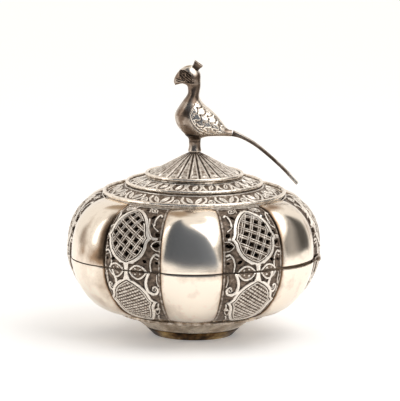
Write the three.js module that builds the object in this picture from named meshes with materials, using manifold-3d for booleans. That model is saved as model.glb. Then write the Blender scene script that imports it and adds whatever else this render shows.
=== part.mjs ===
// Lobed silver box with a hinged lid and a bird finial. Millimetres, +Z up.
// The origin is the centre of the foot's underside. The hinge is at +X, the bird looks towards -X,
// and a plain lobe faces -Y. Angles round the box are counted from -Y towards +X.
import * as THREE from 'three';
import { mergeVertices } from 'three/addons/utils/BufferGeometryUtils.js';
import Module from 'manifold-3d';

const wasm = await Module();
wasm.setup();

// The body's outline at the creases between the gores: radius from the upright axis, height above the table
const seamRadius = 51.8;
const seamHeight = 34;
const shoulderRadius = 37.1;
const shoulderHeight = 58.4;
const underRadius = 30.4;
const underHeight = 11;
const upperPowers = { radius: 1.2, height: 0.75 };
const lowerPowers = { radius: 1.02, height: 1.25 };

// The twelve gores: plain lobes and chased panels by turns
const lobeCount = 6;
const wall = 1.1;
const lobeCrest = 2.1;
const panelCrest = 0.7;
const lobePower = 2.6;
const panelPower = 2;
const endCrestShare = 0.24;
const endCrestPower = 6;
const solderGap = 0.06;

// The creases were laid out by hand: how far each lies from an even pitch, in degrees
const creaseShifts = [-1.5, -0.8, -3, 0, 0.4, -0.3, 0, 0.3, -0.2, -0.3, 0.6, -0.1];

// The lid's rim is trimmed on a slope, so that the seam opens towards the hinge
const frontSeamGap = 0.5;
const hingeSeamGap = 1.9;
const seamGapPower = 5;

// The pierced panels of the lid. The pointed cartouche stands on a narrow neck
const cartoucheHalfWidth = 10.2;
const cartoucheFootShare = 0.09;
const cartoucheWaistShare = 0.433;
const cartoucheTipShare = 0.866;
const cartoucheBodyShare = 0.88;
const cartouchePointShare = 0.22;
const cartouchePowers = { below: 3, above: 2, across: 0.78 };
const latticeHoleWidth = 1.65;
const latticePitch = 3.5;
const latticeBorder = 1.1;
const latticeMargin = 1.4;
const latticeMiddleShare = 0.46;
const pierceDepth = 4;

// Each panel was drawn by eye: the lattice's turn, and how far it and its cartouche stand off the middle line
const panelHands = [
  { turn: 65, lattice: 0.3, cartouche: 1.3 },
  { turn: 60, lattice: -0.4, cartouche: -0.3 },
  { turn: 62, lattice: 0.2, cartouche: 0.4 },
  { turn: 59, lattice: -0.8, cartouche: -0.9 },
  { turn: 64, lattice: 0.5, cartouche: 0.6 },
  { turn: 58, lattice: -1, cartouche: -1.5 },
];

// Spandrel piercings on one half of a panel: places across and up the panel, half width, half length, turn
const spandrelShares = [
  { across: 0.58, up: 0.13, width: 0.42, length: 0.65, turn: -30 },
  { across: 0.84, up: 0.35, width: 0.48, length: 0.85, turn: 80 },
  { across: 0.83, up: 0.5, width: 0.5, length: 0.65, turn: -40 },
  { across: 0.65, up: 0.765, width: 0.36, length: 0.75, turn: 45 },
];

// Soldered wires over the joints
const shoulderWireRadius = 0.8;
const middleWireRadius = 0.7;
const lowerWireRadius = 0.75;
const seatGap = 0.1;
const buttGap = 0.2;

// The stepped top of the lid, each step counted from the one below
const bandWall = 1;
const outerBandRise = 5.3;
const outerBandWidth = 9.3;
const innerBandRise = 2.4;
const innerBandWidth = 7.4;
const collarWall = 1.1;
const collarHeight = 2;
const collarBevel = 0.35;
const coneRimDepth = 0.7;
const coneRise = 8.8;
const coneWall = 1;
const coneTipRadius = 2.8;
const fluteCount = 24;
const fluteDepth = 0.35;

// The bottom dish and the foot
const dishWall = 1.2;
const footTopRadius = 19.8;
const footTopHeight = 3.4;
const footBottomRadius = 16.4;
const footWall = 1.8;

// The bezel inside the base's rim
const bezelWall = 0.9;
const bezelRise = 3;
const bezelDepth = 5.4;

// The hinge
const barrelRadius = 1.3;
const barrelLength = 24;
const knuckleCount = 5;
const knuckleGap = 0.2;
const barrelClearance = 0.3;
const hingePinRadius = 0.6;
const hingePinOverhang = 0.3;
const pinClearance = 0.07;
const finWall = 0.8;

// The finial: its stem with a shank through the cone, the nut, and the bird
const stemRadius = 2.45;
const stemFlangeRadius = 2.75;
const stemLength = 4.4;
const shankRadius = 1.2;
const shankClearance = 0.2;
const shankTail = 0.8;
const nutRadius = 2.6;
const nutHeight = 1.6;
const nutGap = 0.3;
const birdLength = 24;
const tailReach = 5.65;
const tailTipRise = 4.9;
const tailGap = 0.25;
const tailWidth = 2.6;
const tailWall = 1.45;
const tailCorner = 0.3;
const crestHeight = 2.1;
const crestTopRadius = 2.6;
const crestFootRadius = 1.6;
const crestLean = 35;

// Numbers of facets
const roundFacets = 36;
const wireFacets = 5;
const weld = 0.0001;

// Radii and heights of the stepped top, from the shoulder in and up
const middleWireCircleRadius = shoulderRadius - outerBandWidth;
const collarRadius = middleWireCircleRadius - innerBandWidth;
const middleWireHeight = shoulderHeight + outerBandRise;
const collarFootHeight = middleWireHeight + innerBandRise;
const collarTopHeight = collarFootHeight + collarHeight;
const coneRimHeight = collarTopHeight - coneRimDepth;
const coneTopHeight = coneRimHeight + coneRise;
const stemTopHeight = coneTopHeight + stemLength;

const { sin, cos, PI } = Math;
const radians = THREE.MathUtils.degToRad;
const halfPitch = PI / (2 * lobeCount);

// The crease after a gore, counted from the lobe that faces -Y
function creaseAngle(gore) {
  const number = (gore + 2 * lobeCount) % (2 * lobeCount);
  return (2 * gore + 1) * halfPitch + radians(creaseShifts[number % creaseShifts.length]);
}

// Where a gore's middle lies and how far it reaches to each side
function goreSpan(gore) {
  const [start, end] = [creaseAngle(gore - 1), creaseAngle(gore)];
  return { centre: (start + end) / 2, half: (end - start) / 2 };
}

function silver(color, roughness) {
  return new THREE.MeshStandardMaterial({ color, roughness, metalness: 1 });
}

const polished = { color: 0xd2cdc5, roughness: 0.12 };
const chased = { color: 0xa39a8c, roughness: 0.4 };
const drawn = { color: 0xc9c2b6, roughness: 0.22 };
const cast = { color: 0x8f887d, roughness: 0.35 };
const footFinish = { color: 0xa8926c, roughness: 0.25 };

function named(name, geometry, finish) {
  const mesh = new THREE.Mesh(geometry, silver(finish.color, finish.roughness));
  mesh.name = name;
  return mesh;
}

// Moves every vertex of a geometry by a formula and welds its seams
function reshape(geometry, place) {
  geometry.deleteAttribute('normal');
  geometry.deleteAttribute('uv');
  const position = geometry.attributes.position;
  for (let i = 0; i < position.count; i += 1) {
    const moved = place(position.getX(i), position.getY(i), position.getZ(i));
    position.setXYZ(i, moved.x, moved.y, moved.z);
  }
  return mergeVertices(geometry, weld);
}

function toSolid(geometry) {
  const bare = geometry.index ? geometry.clone() : mergeVertices(geometry, weld);
  bare.deleteAttribute('normal');
  bare.deleteAttribute('uv');
  const welded = mergeVertices(bare, weld);
  const vertProperties = new Float32Array(welded.attributes.position.array);
  const triVerts = new Uint32Array(welded.index.array);
  return new wasm.Manifold(new wasm.Mesh({ numProp: 3, vertProperties, triVerts }));
}

function toGeometry(solid) {
  const mesh = solid.getMesh();
  const geometry = new THREE.BufferGeometry();
  geometry.setAttribute('position', new THREE.BufferAttribute(mesh.vertProperties, 3));
  geometry.setIndex(new THREE.BufferAttribute(mesh.triVerts, 1));
  return geometry;
}

// A turned ring or disc, from a profile that runs up its outside
function turned(profile, facets = roundFacets) {
  const points = profile.map(([radius, height]) => new THREE.Vector2(radius, height));
  return new THREE.LatheGeometry(points, facets).rotateX(PI / 2);
}

function turnedRing(profile, facets = roundFacets) {
  return turned([...profile, profile[0]], facets);
}

function wireRing(circle, height, radius) {
  return new THREE.TorusGeometry(circle, radius, wireFacets, roundFacets).translate(0, 0, height);
}

// The crease outline of one half of the body, from the seam (0) to its other end (a quarter turn)
const upper = { endRadius: shoulderRadius, endHeight: shoulderHeight, powers: upperPowers };
const lower = { endRadius: underRadius, endHeight: underHeight, powers: lowerPowers };

function creasePoint(half, turn) {
  const spread = seamRadius - half.endRadius;
  const rise = half.endHeight - seamHeight;
  const c = Math.max(cos(turn), 0);
  return {
    radius: half.endRadius + spread * c ** half.powers.radius,
    height: seamHeight + rise * sin(turn) ** half.powers.height,
  };
}

function creaseNormal(half, turn) {
  const spread = seamRadius - half.endRadius;
  const rise = half.endHeight - seamHeight;
  const c = Math.max(cos(turn), 0);
  const inward = spread * half.powers.radius * sin(turn) ** (2 - half.powers.height);
  const along = rise * half.powers.height * c ** (2 - half.powers.radius);
  const size = Math.hypot(inward, along);
  return { radius: Math.abs(along) / size, height: (Math.sign(rise) * inward) / size };
}

// The turn at which the outline reaches a length along it, counted from the seam
function outlineTable(half, steps = 400) {
  const table = [{ turn: 0, length: 0 }];
  let last = creasePoint(half, 0);
  for (let i = 1; i <= steps; i += 1) {
    const turn = ((PI / 2) * i) / steps;
    const next = creasePoint(half, turn);
    const run = Math.hypot(next.radius - last.radius, next.height - last.height);
    table.push({ turn, length: table[i - 1].length + run });
    last = next;
  }
  return table;
}

function turnAtLength(table, length) {
  const next = Math.max(1, table.findIndex((row) => row.length >= length));
  const [before, after] = [table[next - 1], table[next]];
  const share = (length - before.length) / (after.length - before.length);
  return before.turn + (after.turn - before.turn) * share;
}

// How far a gore stands proud of its creases: a pillow across, lower at both ends
function crestAt(crest, power, across, turn) {
  const pillow = 1 - Math.abs(across) ** power;
  const alongShare = 1 - (1 - endCrestShare) * sin(turn) ** endCrestPower;
  return crest * pillow * alongShare;
}

function seamGapAt(x) {
  const backShare = (x + seamRadius) / (2 * seamRadius);
  return frontSeamGap + (hingeSeamGap - frontSeamGap) * backShare ** seamGapPower;
}

// One gore at angle zero: a slab bent over the outline, before it is turned to its own place
function goreGeometry(half, crest, power, span, acrossSteps, alongSteps) {
  const slab = new THREE.BoxGeometry(1, 1, 1, acrossSteps, alongSteps, 1);
  const isLid = half === upper;
  return reshape(slab, (width, along, depth) => {
    const across = width * 2;
    const endShare = isLid ? along + 1 / 2 : 1 / 2 - along;
    const turn = (PI / 2) * endShare;
    const point = creasePoint(half, turn);
    const normal = creaseNormal(half, turn);
    const proud = crestAt(crest, power, across, turn) - wall * (1 / 2 - depth);
    const radius = point.radius + normal.radius * proud;
    const angle = across * (span.half - solderGap / 2 / point.radius);
    let height = point.height + normal.height * proud;
    if (isLid) {
      const x = radius * sin(angle + span.centre);
      const left = Math.max(0, (shoulderHeight - height) / (shoulderHeight - seamHeight));
      height += seamGapAt(x) * left;
    }
    return { x: radius * sin(angle), y: -radius * cos(angle), z: height };
  });
}

const upperTable = outlineTable(upper);
const upperLength = upperTable[upperTable.length - 1].length;
const cartoucheFoot = upperLength * cartoucheFootShare;
const cartoucheWaist = upperLength * cartoucheWaistShare;
const cartoucheTip = upperLength * cartoucheTipShare;

// Half the width of the pointed cartouche at a length up from the seam
function cartoucheWidth(length) {
  const isBelow = length < cartoucheWaist;
  const reach = isBelow ? cartoucheWaist - cartoucheFoot : cartoucheTip - cartoucheWaist;
  const share = Math.min(Math.abs(length - cartoucheWaist) / reach, 1);
  const power = isBelow ? cartouchePowers.below : cartouchePowers.above;
  const round = (1 - share ** power) ** cartouchePowers.across;
  const sidePoint = Math.max(0, 1 - share / cartouchePointShare) ** 2;
  return cartoucheHalfWidth * (cartoucheBodyShare * round + (1 - cartoucheBodyShare) * sidePoint);
}

// Sets a cutter through the lid's wall at a place on the panel, turned in the panel's own surface
function placeCutter(cutter, across, length, turnDegrees) {
  const turn = turnAtLength(upperTable, length);
  const point = creasePoint(upper, turn);
  const normal = creaseNormal(upper, turn);
  const angle = across / point.radius;
  const east = new THREE.Vector3(cos(angle), sin(angle), 0);
  const out = new THREE.Vector3(normal.radius * sin(angle), -normal.radius * cos(angle), normal.height);
  const up = new THREE.Vector3().crossVectors(out, east);
  const frame = new THREE.Matrix4().makeBasis(east, up, out);
  frame.setPosition(point.radius * sin(angle), -point.radius * cos(angle), point.height);
  const spin = new THREE.Matrix4().makeRotationZ(radians(turnDegrees));
  return toSolid(cutter.applyMatrix4(frame.multiply(spin)));
}

// Square holes on a turned grid, where they and a margin above and below them are inside the cartouche
function latticeCutters(hand) {
  const cutters = [];
  const middle = upperLength * latticeMiddleShare;
  const reach = Math.ceil(cartoucheTip / 2 / latticePitch) + 1;
  const turn = radians(hand.turn);
  for (let i = -reach; i <= reach; i += 1) {
    for (let j = -reach; j <= reach; j += 1) {
      const across = hand.lattice + latticePitch * (i * cos(turn) - j * sin(turn));
      const up = middle + latticePitch * (i * sin(turn) + j * cos(turn));
      const narrowest = Math.min(cartoucheWidth(up - latticeMargin), cartoucheWidth(up + latticeMargin));
      if (Math.abs(across - hand.cartouche) > narrowest - latticeBorder) continue;
      const cutter = new THREE.BoxGeometry(latticeHoleWidth, latticeHoleWidth, pierceDepth);
      cutters.push(placeCutter(cutter, across, up, hand.turn));
    }
  }
  return cutters;
}

// An almond-shaped cutter for the ground between the scrolls
function almondGeometry(halfWidth, halfLength) {
  const outline = new THREE.Shape();
  outline.moveTo(0, -halfLength);
  outline.quadraticCurveTo(2 * halfWidth, 0, 0, halfLength);
  outline.quadraticCurveTo(-2 * halfWidth, 0, 0, -halfLength);
  const settings = { depth: pierceDepth, bevelEnabled: false, curveSegments: 2 };
  return new THREE.ExtrudeGeometry(outline, settings).translate(0, 0, -pierceDepth / 2);
}

function spandrelCutters(span) {
  const cutters = [];
  for (const side of [-1, 1]) {
    for (const place of spandrelShares) {
      const length = upperLength * place.up;
      const turn = turnAtLength(upperTable, length);
      const across = side * place.across * span.half * creasePoint(upper, turn).radius;
      const cutter = almondGeometry(place.width * latticeHoleWidth, place.length * latticeHoleWidth);
      cutters.push(placeCutter(cutter, across, length, side * place.turn));
    }
  }
  return cutters;
}

// The hinge line, level with the seam and flush with the outside of the panel it sits in
const hingeX = seamRadius + panelCrest - barrelRadius;

function hingeChannel(centre) {
  const radius = barrelRadius + barrelClearance;
  const length = barrelLength + 2 * barrelClearance;
  const cutter = new THREE.CylinderGeometry(radius, radius, length, 20);
  return toSolid(cutter.translate(hingeX, 0, seamHeight).rotateZ(-centre));
}

const hingeCentre = PI / 2;

function addGores(body, half, kinds) {
  for (let i = 0; i < lobeCount; i += 1) {
    const lobeSpan = goreSpan(2 * i);
    const lobe = goreGeometry(half, lobeCrest, lobePower, lobeSpan, 6, 7);
    const lobeMesh = named(`${kinds.lobe}_${i + 1}`, lobe, polished);
    lobeMesh.rotation.z = lobeSpan.centre;
    body.add(lobeMesh);

    const panelSpan = goreSpan(2 * i + 1);
    const panel = goreGeometry(half, panelCrest, panelPower, panelSpan, 4, 6);
    const isHingeSide = Math.abs(panelSpan.centre - hingeCentre) < halfPitch;
    const cutters = [...kinds.cutters(i, panelSpan)];
    if (isHingeSide) cutters.push(hingeChannel(panelSpan.centre));
    let solid = toSolid(panel);
    for (const cutter of cutters) solid = solid.subtract(cutter);
    const panelMesh = named(`${kinds.panel}_${i + 1}`, toGeometry(solid), chased);
    panelMesh.rotation.z = panelSpan.centre;
    body.add(panelMesh);
  }
}

const base = new THREE.Group();
const lid = new THREE.Group();

addGores(base, lower, { lobe: 'base_lobe', panel: 'base_chased_panel', cutters: () => [] });
addGores(lid, upper, {
  lobe: 'lid_lobe',
  panel: 'lid_pierced_panel',
  cutters: (i, span) => [...latticeCutters(panelHands[i % panelHands.length]), ...spandrelCutters(span)],
});

// The bezel: a plain ring soldered inside the base's wall, which the lid drops over
function bezelGeometry() {
  const lowerTable = outlineTable(lower);
  const foot = creasePoint(lower, turnAtLength(lowerTable, bezelDepth));
  const outer = foot.radius - wall - seatGap;
  const inner = outer - bezelWall;
  const top = seamHeight + bezelRise;
  const bottom = foot.height;
  return turnedRing([[inner, bottom], [outer, bottom], [outer, top], [inner, top]]);
}

// The bottom: a sloping chased band and a flat floor in one sheet
const dishRimRadius = underRadius - buttGap;
const dishRimHeight = underHeight;
const footSeatHeight = footTopHeight + seatGap;

function dishGeometry() {
  return turned([
    [0, footSeatHeight],
    [footTopRadius, footSeatHeight],
    [dishRimRadius, dishRimHeight],
    [dishRimRadius, dishRimHeight + dishWall],
    [footTopRadius, footSeatHeight + dishWall],
    [0, footSeatHeight + dishWall],
  ]);
}

function footGeometry() {
  const innerTop = footTopRadius - footWall;
  const innerBottom = footBottomRadius - footWall;
  return turnedRing([
    [innerBottom, 0],
    [footBottomRadius, 0],
    [footTopRadius, footTopHeight],
    [innerTop, footTopHeight],
  ]);
}

base.add(named('base_bezel', bezelGeometry(), drawn));
base.add(named('base_dish', dishGeometry(), chased));
const lowerWireHeight = underHeight - lobeCrest * endCrestShare - lowerWireRadius - seatGap;
base.add(named('base_wire', wireRing(underRadius, lowerWireHeight, lowerWireRadius), drawn));
base.add(named('foot_ring', footGeometry(), footFinish));

// The lid's two conical bands, each butted under a wire
const outerBandRim = shoulderRadius - buttGap;
const middleBandRim = middleWireCircleRadius - buttGap;
const bandStepHeight = middleWireHeight - middleWireRadius - seatGap;
const bandTopHeight = collarFootHeight - seatGap;
const bandTopRadius = collarRadius - collarWall;

function bandGeometry(outerRadius, outerHeight, innerRadius, innerHeight) {
  return turnedRing([
    [outerRadius, outerHeight - bandWall],
    [outerRadius, outerHeight],
    [innerRadius, innerHeight],
    [innerRadius, innerHeight - bandWall],
  ]);
}

function collarGeometry() {
  const inner = collarRadius - collarWall;
  const bevelled = collarRadius - collarBevel;
  return turnedRing([
    [inner, collarFootHeight],
    [collarRadius, collarFootHeight],
    [collarRadius, collarTopHeight - collarBevel],
    [bevelled, collarTopHeight],
    [inner, collarTopHeight],
  ]);
}

// The fluted cone: every second line of facets is pushed down, less and less towards the tip
function coneGeometry() {
  const rimRadius = bandTopRadius - 2 * seatGap;
  const bore = shankRadius + shankClearance;
  const cone = turnedRing([
    [bore, coneTopHeight - coneWall],
    [nutRadius + seatGap, coneTopHeight - coneWall],
    [rimRadius, coneRimHeight - coneWall],
    [rimRadius, coneRimHeight],
    [coneTipRadius, coneTopHeight],
    [bore, coneTopHeight],
  ], 2 * fluteCount);
  return reshape(cone, (x, y, z) => {
    const radius = Math.hypot(x, y);
    const rimShare = Math.max(0, (radius - coneTipRadius) / (rimRadius - coneTipRadius));
    const wave = cos(fluteCount * Math.atan2(y, x)) - 1;
    return { x, y, z: z + (wave * fluteDepth * rimShare) / 2 };
  });
}

const shoulderWireHeight = shoulderHeight + lobeCrest * endCrestShare + shoulderWireRadius + seatGap;
lid.add(named('shoulder_wire', wireRing(shoulderRadius, shoulderWireHeight, shoulderWireRadius), drawn));
lid.add(named('outer_band', bandGeometry(outerBandRim, shoulderHeight, middleWireCircleRadius, bandStepHeight), chased));
lid.add(named('middle_wire', wireRing(middleWireCircleRadius, middleWireHeight, middleWireRadius), drawn));
lid.add(named('inner_band', bandGeometry(middleBandRim, bandStepHeight, bandTopRadius, bandTopHeight), chased));
lid.add(named('collar', collarGeometry(), drawn));
lid.add(named('fluted_cone', coneGeometry(), chased));

// The finial's stem, shank and nut
function stemGeometry() {
  const shankBottom = coneTopHeight - coneWall - nutGap - nutHeight - shankTail;
  return turned([
    [0, shankBottom],
    [shankRadius, shankBottom],
    [shankRadius, coneTopHeight + seatGap],
    [stemFlangeRadius, coneTopHeight + seatGap],
    [stemRadius, coneTopHeight + seatGap + stemFlangeRadius / 2],
    [stemRadius, stemTopHeight],
    [0, stemTopHeight],
  ], 16);
}

function nutGeometry() {
  const top = coneTopHeight - coneWall - nutGap;
  const bore = shankRadius + shankClearance;
  const blank = new THREE.CylinderGeometry(nutRadius, nutRadius, nutHeight, 6);
  const drill = new THREE.CylinderGeometry(bore, bore, 2 * nutHeight, 12);
  const nut = toGeometry(toSolid(blank).subtract(toSolid(drill)));
  return nut.rotateX(PI / 2).translate(0, 0, top - nutHeight / 2);
}

// Places on the bird are shares of its length, counted back and up from the middle of the stem's top
const birdFootHeight = stemTopHeight + seatGap;

function onBird(share) {
  return new THREE.Vector3(share.back * birdLength, 0, birdFootHeight + share.up * birdLength);
}

// A closed skin round stations on the bird, each with half its depth and half its width
function lofted(stationShares, around, steps) {
  const centre = new THREE.CatmullRomCurve3(stationShares.map(onBird));
  const halves = stationShares.map((s) => new THREE.Vector3(s.deep * birdLength, s.wide * birdLength, 0));
  const sizes = new THREE.CatmullRomCurve3(halves);
  const profile = [new THREE.Vector2(0, 0)];
  for (let i = 0; i <= steps; i += 1) profile.push(new THREE.Vector2(1, i / steps));
  profile.push(new THREE.Vector2(0, 1));
  return reshape(new THREE.LatheGeometry(profile, around), (across, share, side) => {
    const at = Math.min(Math.max(share, 0), 1);
    const spine = centre.getPoint(at);
    const size = sizes.getPoint(at);
    const way = centre.getTangent(at);
    return {
      x: spine.x + way.z * across * size.x,
      y: -side * size.y,
      z: spine.z - way.x * across * size.x,
    };
  });
}

// The bird, cast in one. Stations run from the root of the tail to the breast, and up the neck
const birdBodyShares = [
  { back: 0.646, up: 0.142, deep: 0.052, wide: 0.075 },
  { back: 0.554, up: 0.167, deep: 0.073, wide: 0.104 },
  { back: 0.417, up: 0.238, deep: 0.146, wide: 0.163 },
  { back: 0.25, up: 0.308, deep: 0.229, wide: 0.217 },
  { back: 0.042, up: 0.358, deep: 0.313, wide: 0.242 },
  { back: -0.146, up: 0.383, deep: 0.3, wide: 0.229 },
  { back: -0.279, up: 0.404, deep: 0.188, wide: 0.15 },
  { back: -0.342, up: 0.413, deep: 0.05, wide: 0.042 },
];
const birdNeckShares = [
  { back: -0.033, up: 0.513, deep: 0.192, wide: 0.158 },
  { back: -0.058, up: 0.654, deep: 0.167, wide: 0.138 },
  { back: -0.046, up: 0.771, deep: 0.115, wide: 0.104 },
  { back: -0.025, up: 0.888, deep: 0.106, wide: 0.096 },
  { back: -0.029, up: 1.054, deep: 0.117, wide: 0.104 },
];
const birdHeadShare = { back: -0.113, up: 1.121, long: 0.213, wide: 0.138, high: 0.196 };
const birdBeakShares = [
  { back: -0.183, up: 1.138, deep: 0.15, wide: 0.1 },
  { back: -0.296, up: 1.1, deep: 0.092, wide: 0.063 },
  { back: -0.338, up: 1.038, deep: 0.046, wide: 0.033 },
  { back: -0.346, up: 0.979, deep: 0.017, wide: 0.015 },
];
const birdBossShare = 0.358;

function birdGeometry() {
  const middle = onBird(birdHeadShare);
  const head = new THREE.SphereGeometry(birdLength, 12, 9);
  head.scale(birdHeadShare.long, birdHeadShare.wide, birdHeadShare.high).translate(middle.x, 0, middle.z);
  const bossHeight = birdBossShare * birdLength;
  const boss = new THREE.CylinderGeometry(stemRadius, stemRadius, bossHeight, 12).rotateX(PI / 2);
  boss.translate(0, 0, birdFootHeight + bossHeight / 2);
  let solid = toSolid(lofted(birdBodyShares, 12, 11));
  for (const piece of [lofted(birdNeckShares, 10, 6), head, lofted(birdBeakShares, 8, 4), boss]) {
    solid = solid.add(toSolid(piece));
  }
  return toGeometry(solid);
}

// The tail: a flat strip butted to the end of the body, which sweeps down to just past the shoulder
const tailRouteShares = [
  { out: 0, down: 0 },
  { out: 0.124, down: 0.053 },
  { out: 0.324, down: 0.195 },
  { out: 0.52, down: 0.393 },
  { out: 0.772, down: 0.687 },
  { out: 1, down: 1 },
];

function tailPoint(share) {
  const root = onBird(birdBodyShares[0]);
  const run = shoulderRadius + tailReach - (root.x + tailGap);
  const drop = root.z - (shoulderHeight + tailTipRise);
  return new THREE.Vector3(root.x + tailGap + run * share.out, 0, root.z - drop * share.down);
}

function tailGeometry() {
  const section = new THREE.Shape();
  const halfWall = tailWall / 2;
  const halfWidth = tailWidth / 2;
  section.moveTo(tailCorner - halfWidth, -halfWall);
  section.lineTo(halfWidth - tailCorner, -halfWall);
  section.lineTo(halfWidth, tailCorner - halfWall);
  section.lineTo(halfWidth, halfWall - tailCorner);
  section.lineTo(halfWidth - tailCorner, halfWall);
  section.lineTo(tailCorner - halfWidth, halfWall);
  section.lineTo(-halfWidth, halfWall - tailCorner);
  section.lineTo(-halfWidth, tailCorner - halfWall);
  const route = new THREE.CatmullRomCurve3(tailRouteShares.map(tailPoint));
  return new THREE.ExtrudeGeometry(section, { steps: 14, extrudePath: route });
}

// The crest: a small flared cup with four sides, which leans back on the crown of the head
function crestGeometry() {
  const lean = radians(crestLean);
  const out = { x: sin(lean), z: cos(lean) };
  const middle = onBird(birdHeadShare);
  const reach = birdLength / Math.hypot(out.x / birdHeadShare.long, out.z / birdHeadShare.high) + seatGap;
  const crest = new THREE.CylinderGeometry(crestTopRadius, crestFootRadius, crestHeight, 4).rotateX(PI / 2);
  crest.rotateZ(PI / 4).translate(0, 0, crestHeight / 2 + reach).rotateY(lean);
  return crest.translate(middle.x, 0, middle.z);
}

lid.add(named('finial_stem', stemGeometry(), cast));
lid.add(named('finial_nut', nutGeometry(), drawn));
lid.add(named('bird_body', birdGeometry(), cast));
lid.add(named('bird_tail', tailGeometry(), cast));
lid.add(named('bird_crest', crestGeometry(), cast));

// The hinge knuckles, three on the base and two on the lid, and the pin through them
function knuckleGeometry(length, centreY, isLid) {
  const bore = hingePinRadius + pinClearance;
  let solid = toSolid(new THREE.CylinderGeometry(barrelRadius, barrelRadius, length, 16));
  if (isLid) {
    const rimGap = seamGapAt(hingeX) - seatGap;
    const fin = new THREE.BoxGeometry(finWall, length, rimGap).translate(0, 0, rimGap / 2);
    solid = solid.add(toSolid(fin));
  }
  const drill = new THREE.CylinderGeometry(bore, bore, 2 * length, 16);
  return toGeometry(solid.subtract(toSolid(drill))).translate(hingeX, centreY, seamHeight);
}

const knuckleLength = (barrelLength - (knuckleCount - 1) * knuckleGap) / knuckleCount;
for (let i = 0; i < knuckleCount; i += 1) {
  const isLid = i % 2 === 1;
  const centreY = (i - (knuckleCount - 1) / 2) * (knuckleLength + knuckleGap);
  const name = isLid ? `lid_knuckle_${(i + 1) / 2}` : `base_knuckle_${i / 2 + 1}`;
  const owner = isLid ? lid : base;
  owner.add(named(name, knuckleGeometry(knuckleLength, centreY, isLid), drawn));
}

const pinLength = barrelLength + 2 * hingePinOverhang;
const pin = new THREE.CylinderGeometry(hingePinRadius, hingePinRadius, pinLength, 16);
base.add(named('hinge_pin', pin.translate(hingeX, 0, seamHeight), drawn));

const group = new THREE.Group();
group.add(base, lid);
export default group;
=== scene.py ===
from math import cos, pi, radians, sin

import bpy
import numpy as np
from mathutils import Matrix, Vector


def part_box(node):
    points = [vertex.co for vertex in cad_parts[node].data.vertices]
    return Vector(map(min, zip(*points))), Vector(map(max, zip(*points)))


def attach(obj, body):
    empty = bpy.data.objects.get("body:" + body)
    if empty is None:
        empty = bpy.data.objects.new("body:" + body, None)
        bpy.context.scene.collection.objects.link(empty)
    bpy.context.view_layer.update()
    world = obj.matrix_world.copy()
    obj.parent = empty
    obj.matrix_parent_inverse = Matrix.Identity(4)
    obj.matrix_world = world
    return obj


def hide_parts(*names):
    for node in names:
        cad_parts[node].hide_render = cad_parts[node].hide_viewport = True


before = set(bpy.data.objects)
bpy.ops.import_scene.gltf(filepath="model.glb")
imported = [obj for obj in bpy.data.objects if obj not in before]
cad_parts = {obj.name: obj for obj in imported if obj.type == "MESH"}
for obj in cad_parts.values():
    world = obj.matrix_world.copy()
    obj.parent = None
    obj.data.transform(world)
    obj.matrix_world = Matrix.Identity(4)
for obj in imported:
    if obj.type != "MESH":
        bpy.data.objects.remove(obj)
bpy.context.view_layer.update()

MM = 0.001


# The foot: a plain ring of sheet silver that tapers to the table, soldered under the dish. Its edges are
# rounded by wear, and it was never polished.
def linear(hex_colour):
    """An sRGB hex value as linear light: each channel through the sRGB curve, with full alpha."""
    channels = np.array([int(hex_colour[i : i + 2], 16) for i in (1, 3, 5)]) / 255
    low, high = channels / 12.92, ((channels + 0.055) / 1.055) ** 2.4
    return (*np.where(channels <= 0.04045, low, high), 1)


def connect(material, node, inputs):
    """Gives a node's inputs, by name or number, a value or a link to a socket or a node's first output."""
    for key, source in dict(inputs).items():
        if isinstance(source, bpy.types.Node):
            source = source.outputs[0]
        if isinstance(source, bpy.types.NodeSocket):
            material.node_tree.links.new(node.inputs[key], source)
        else:
            node.inputs[key].default_value = source


def add_node(material, kind, inputs=(), **properties):
    """Adds a node with its properties, and with its inputs as connect gives them."""
    node = material.node_tree.nodes.new(kind)
    for name, value in properties.items():
        setattr(node, name, value)
    connect(material, node, inputs)
    return node


# The deepest tarnish is this share as light as common tarnish, which is reached at this place of the wear.
BLACK_SHARE, TARNISH_PLACE = 0.16, 0.4
SHARP_ANGLE = radians(38)


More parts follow.
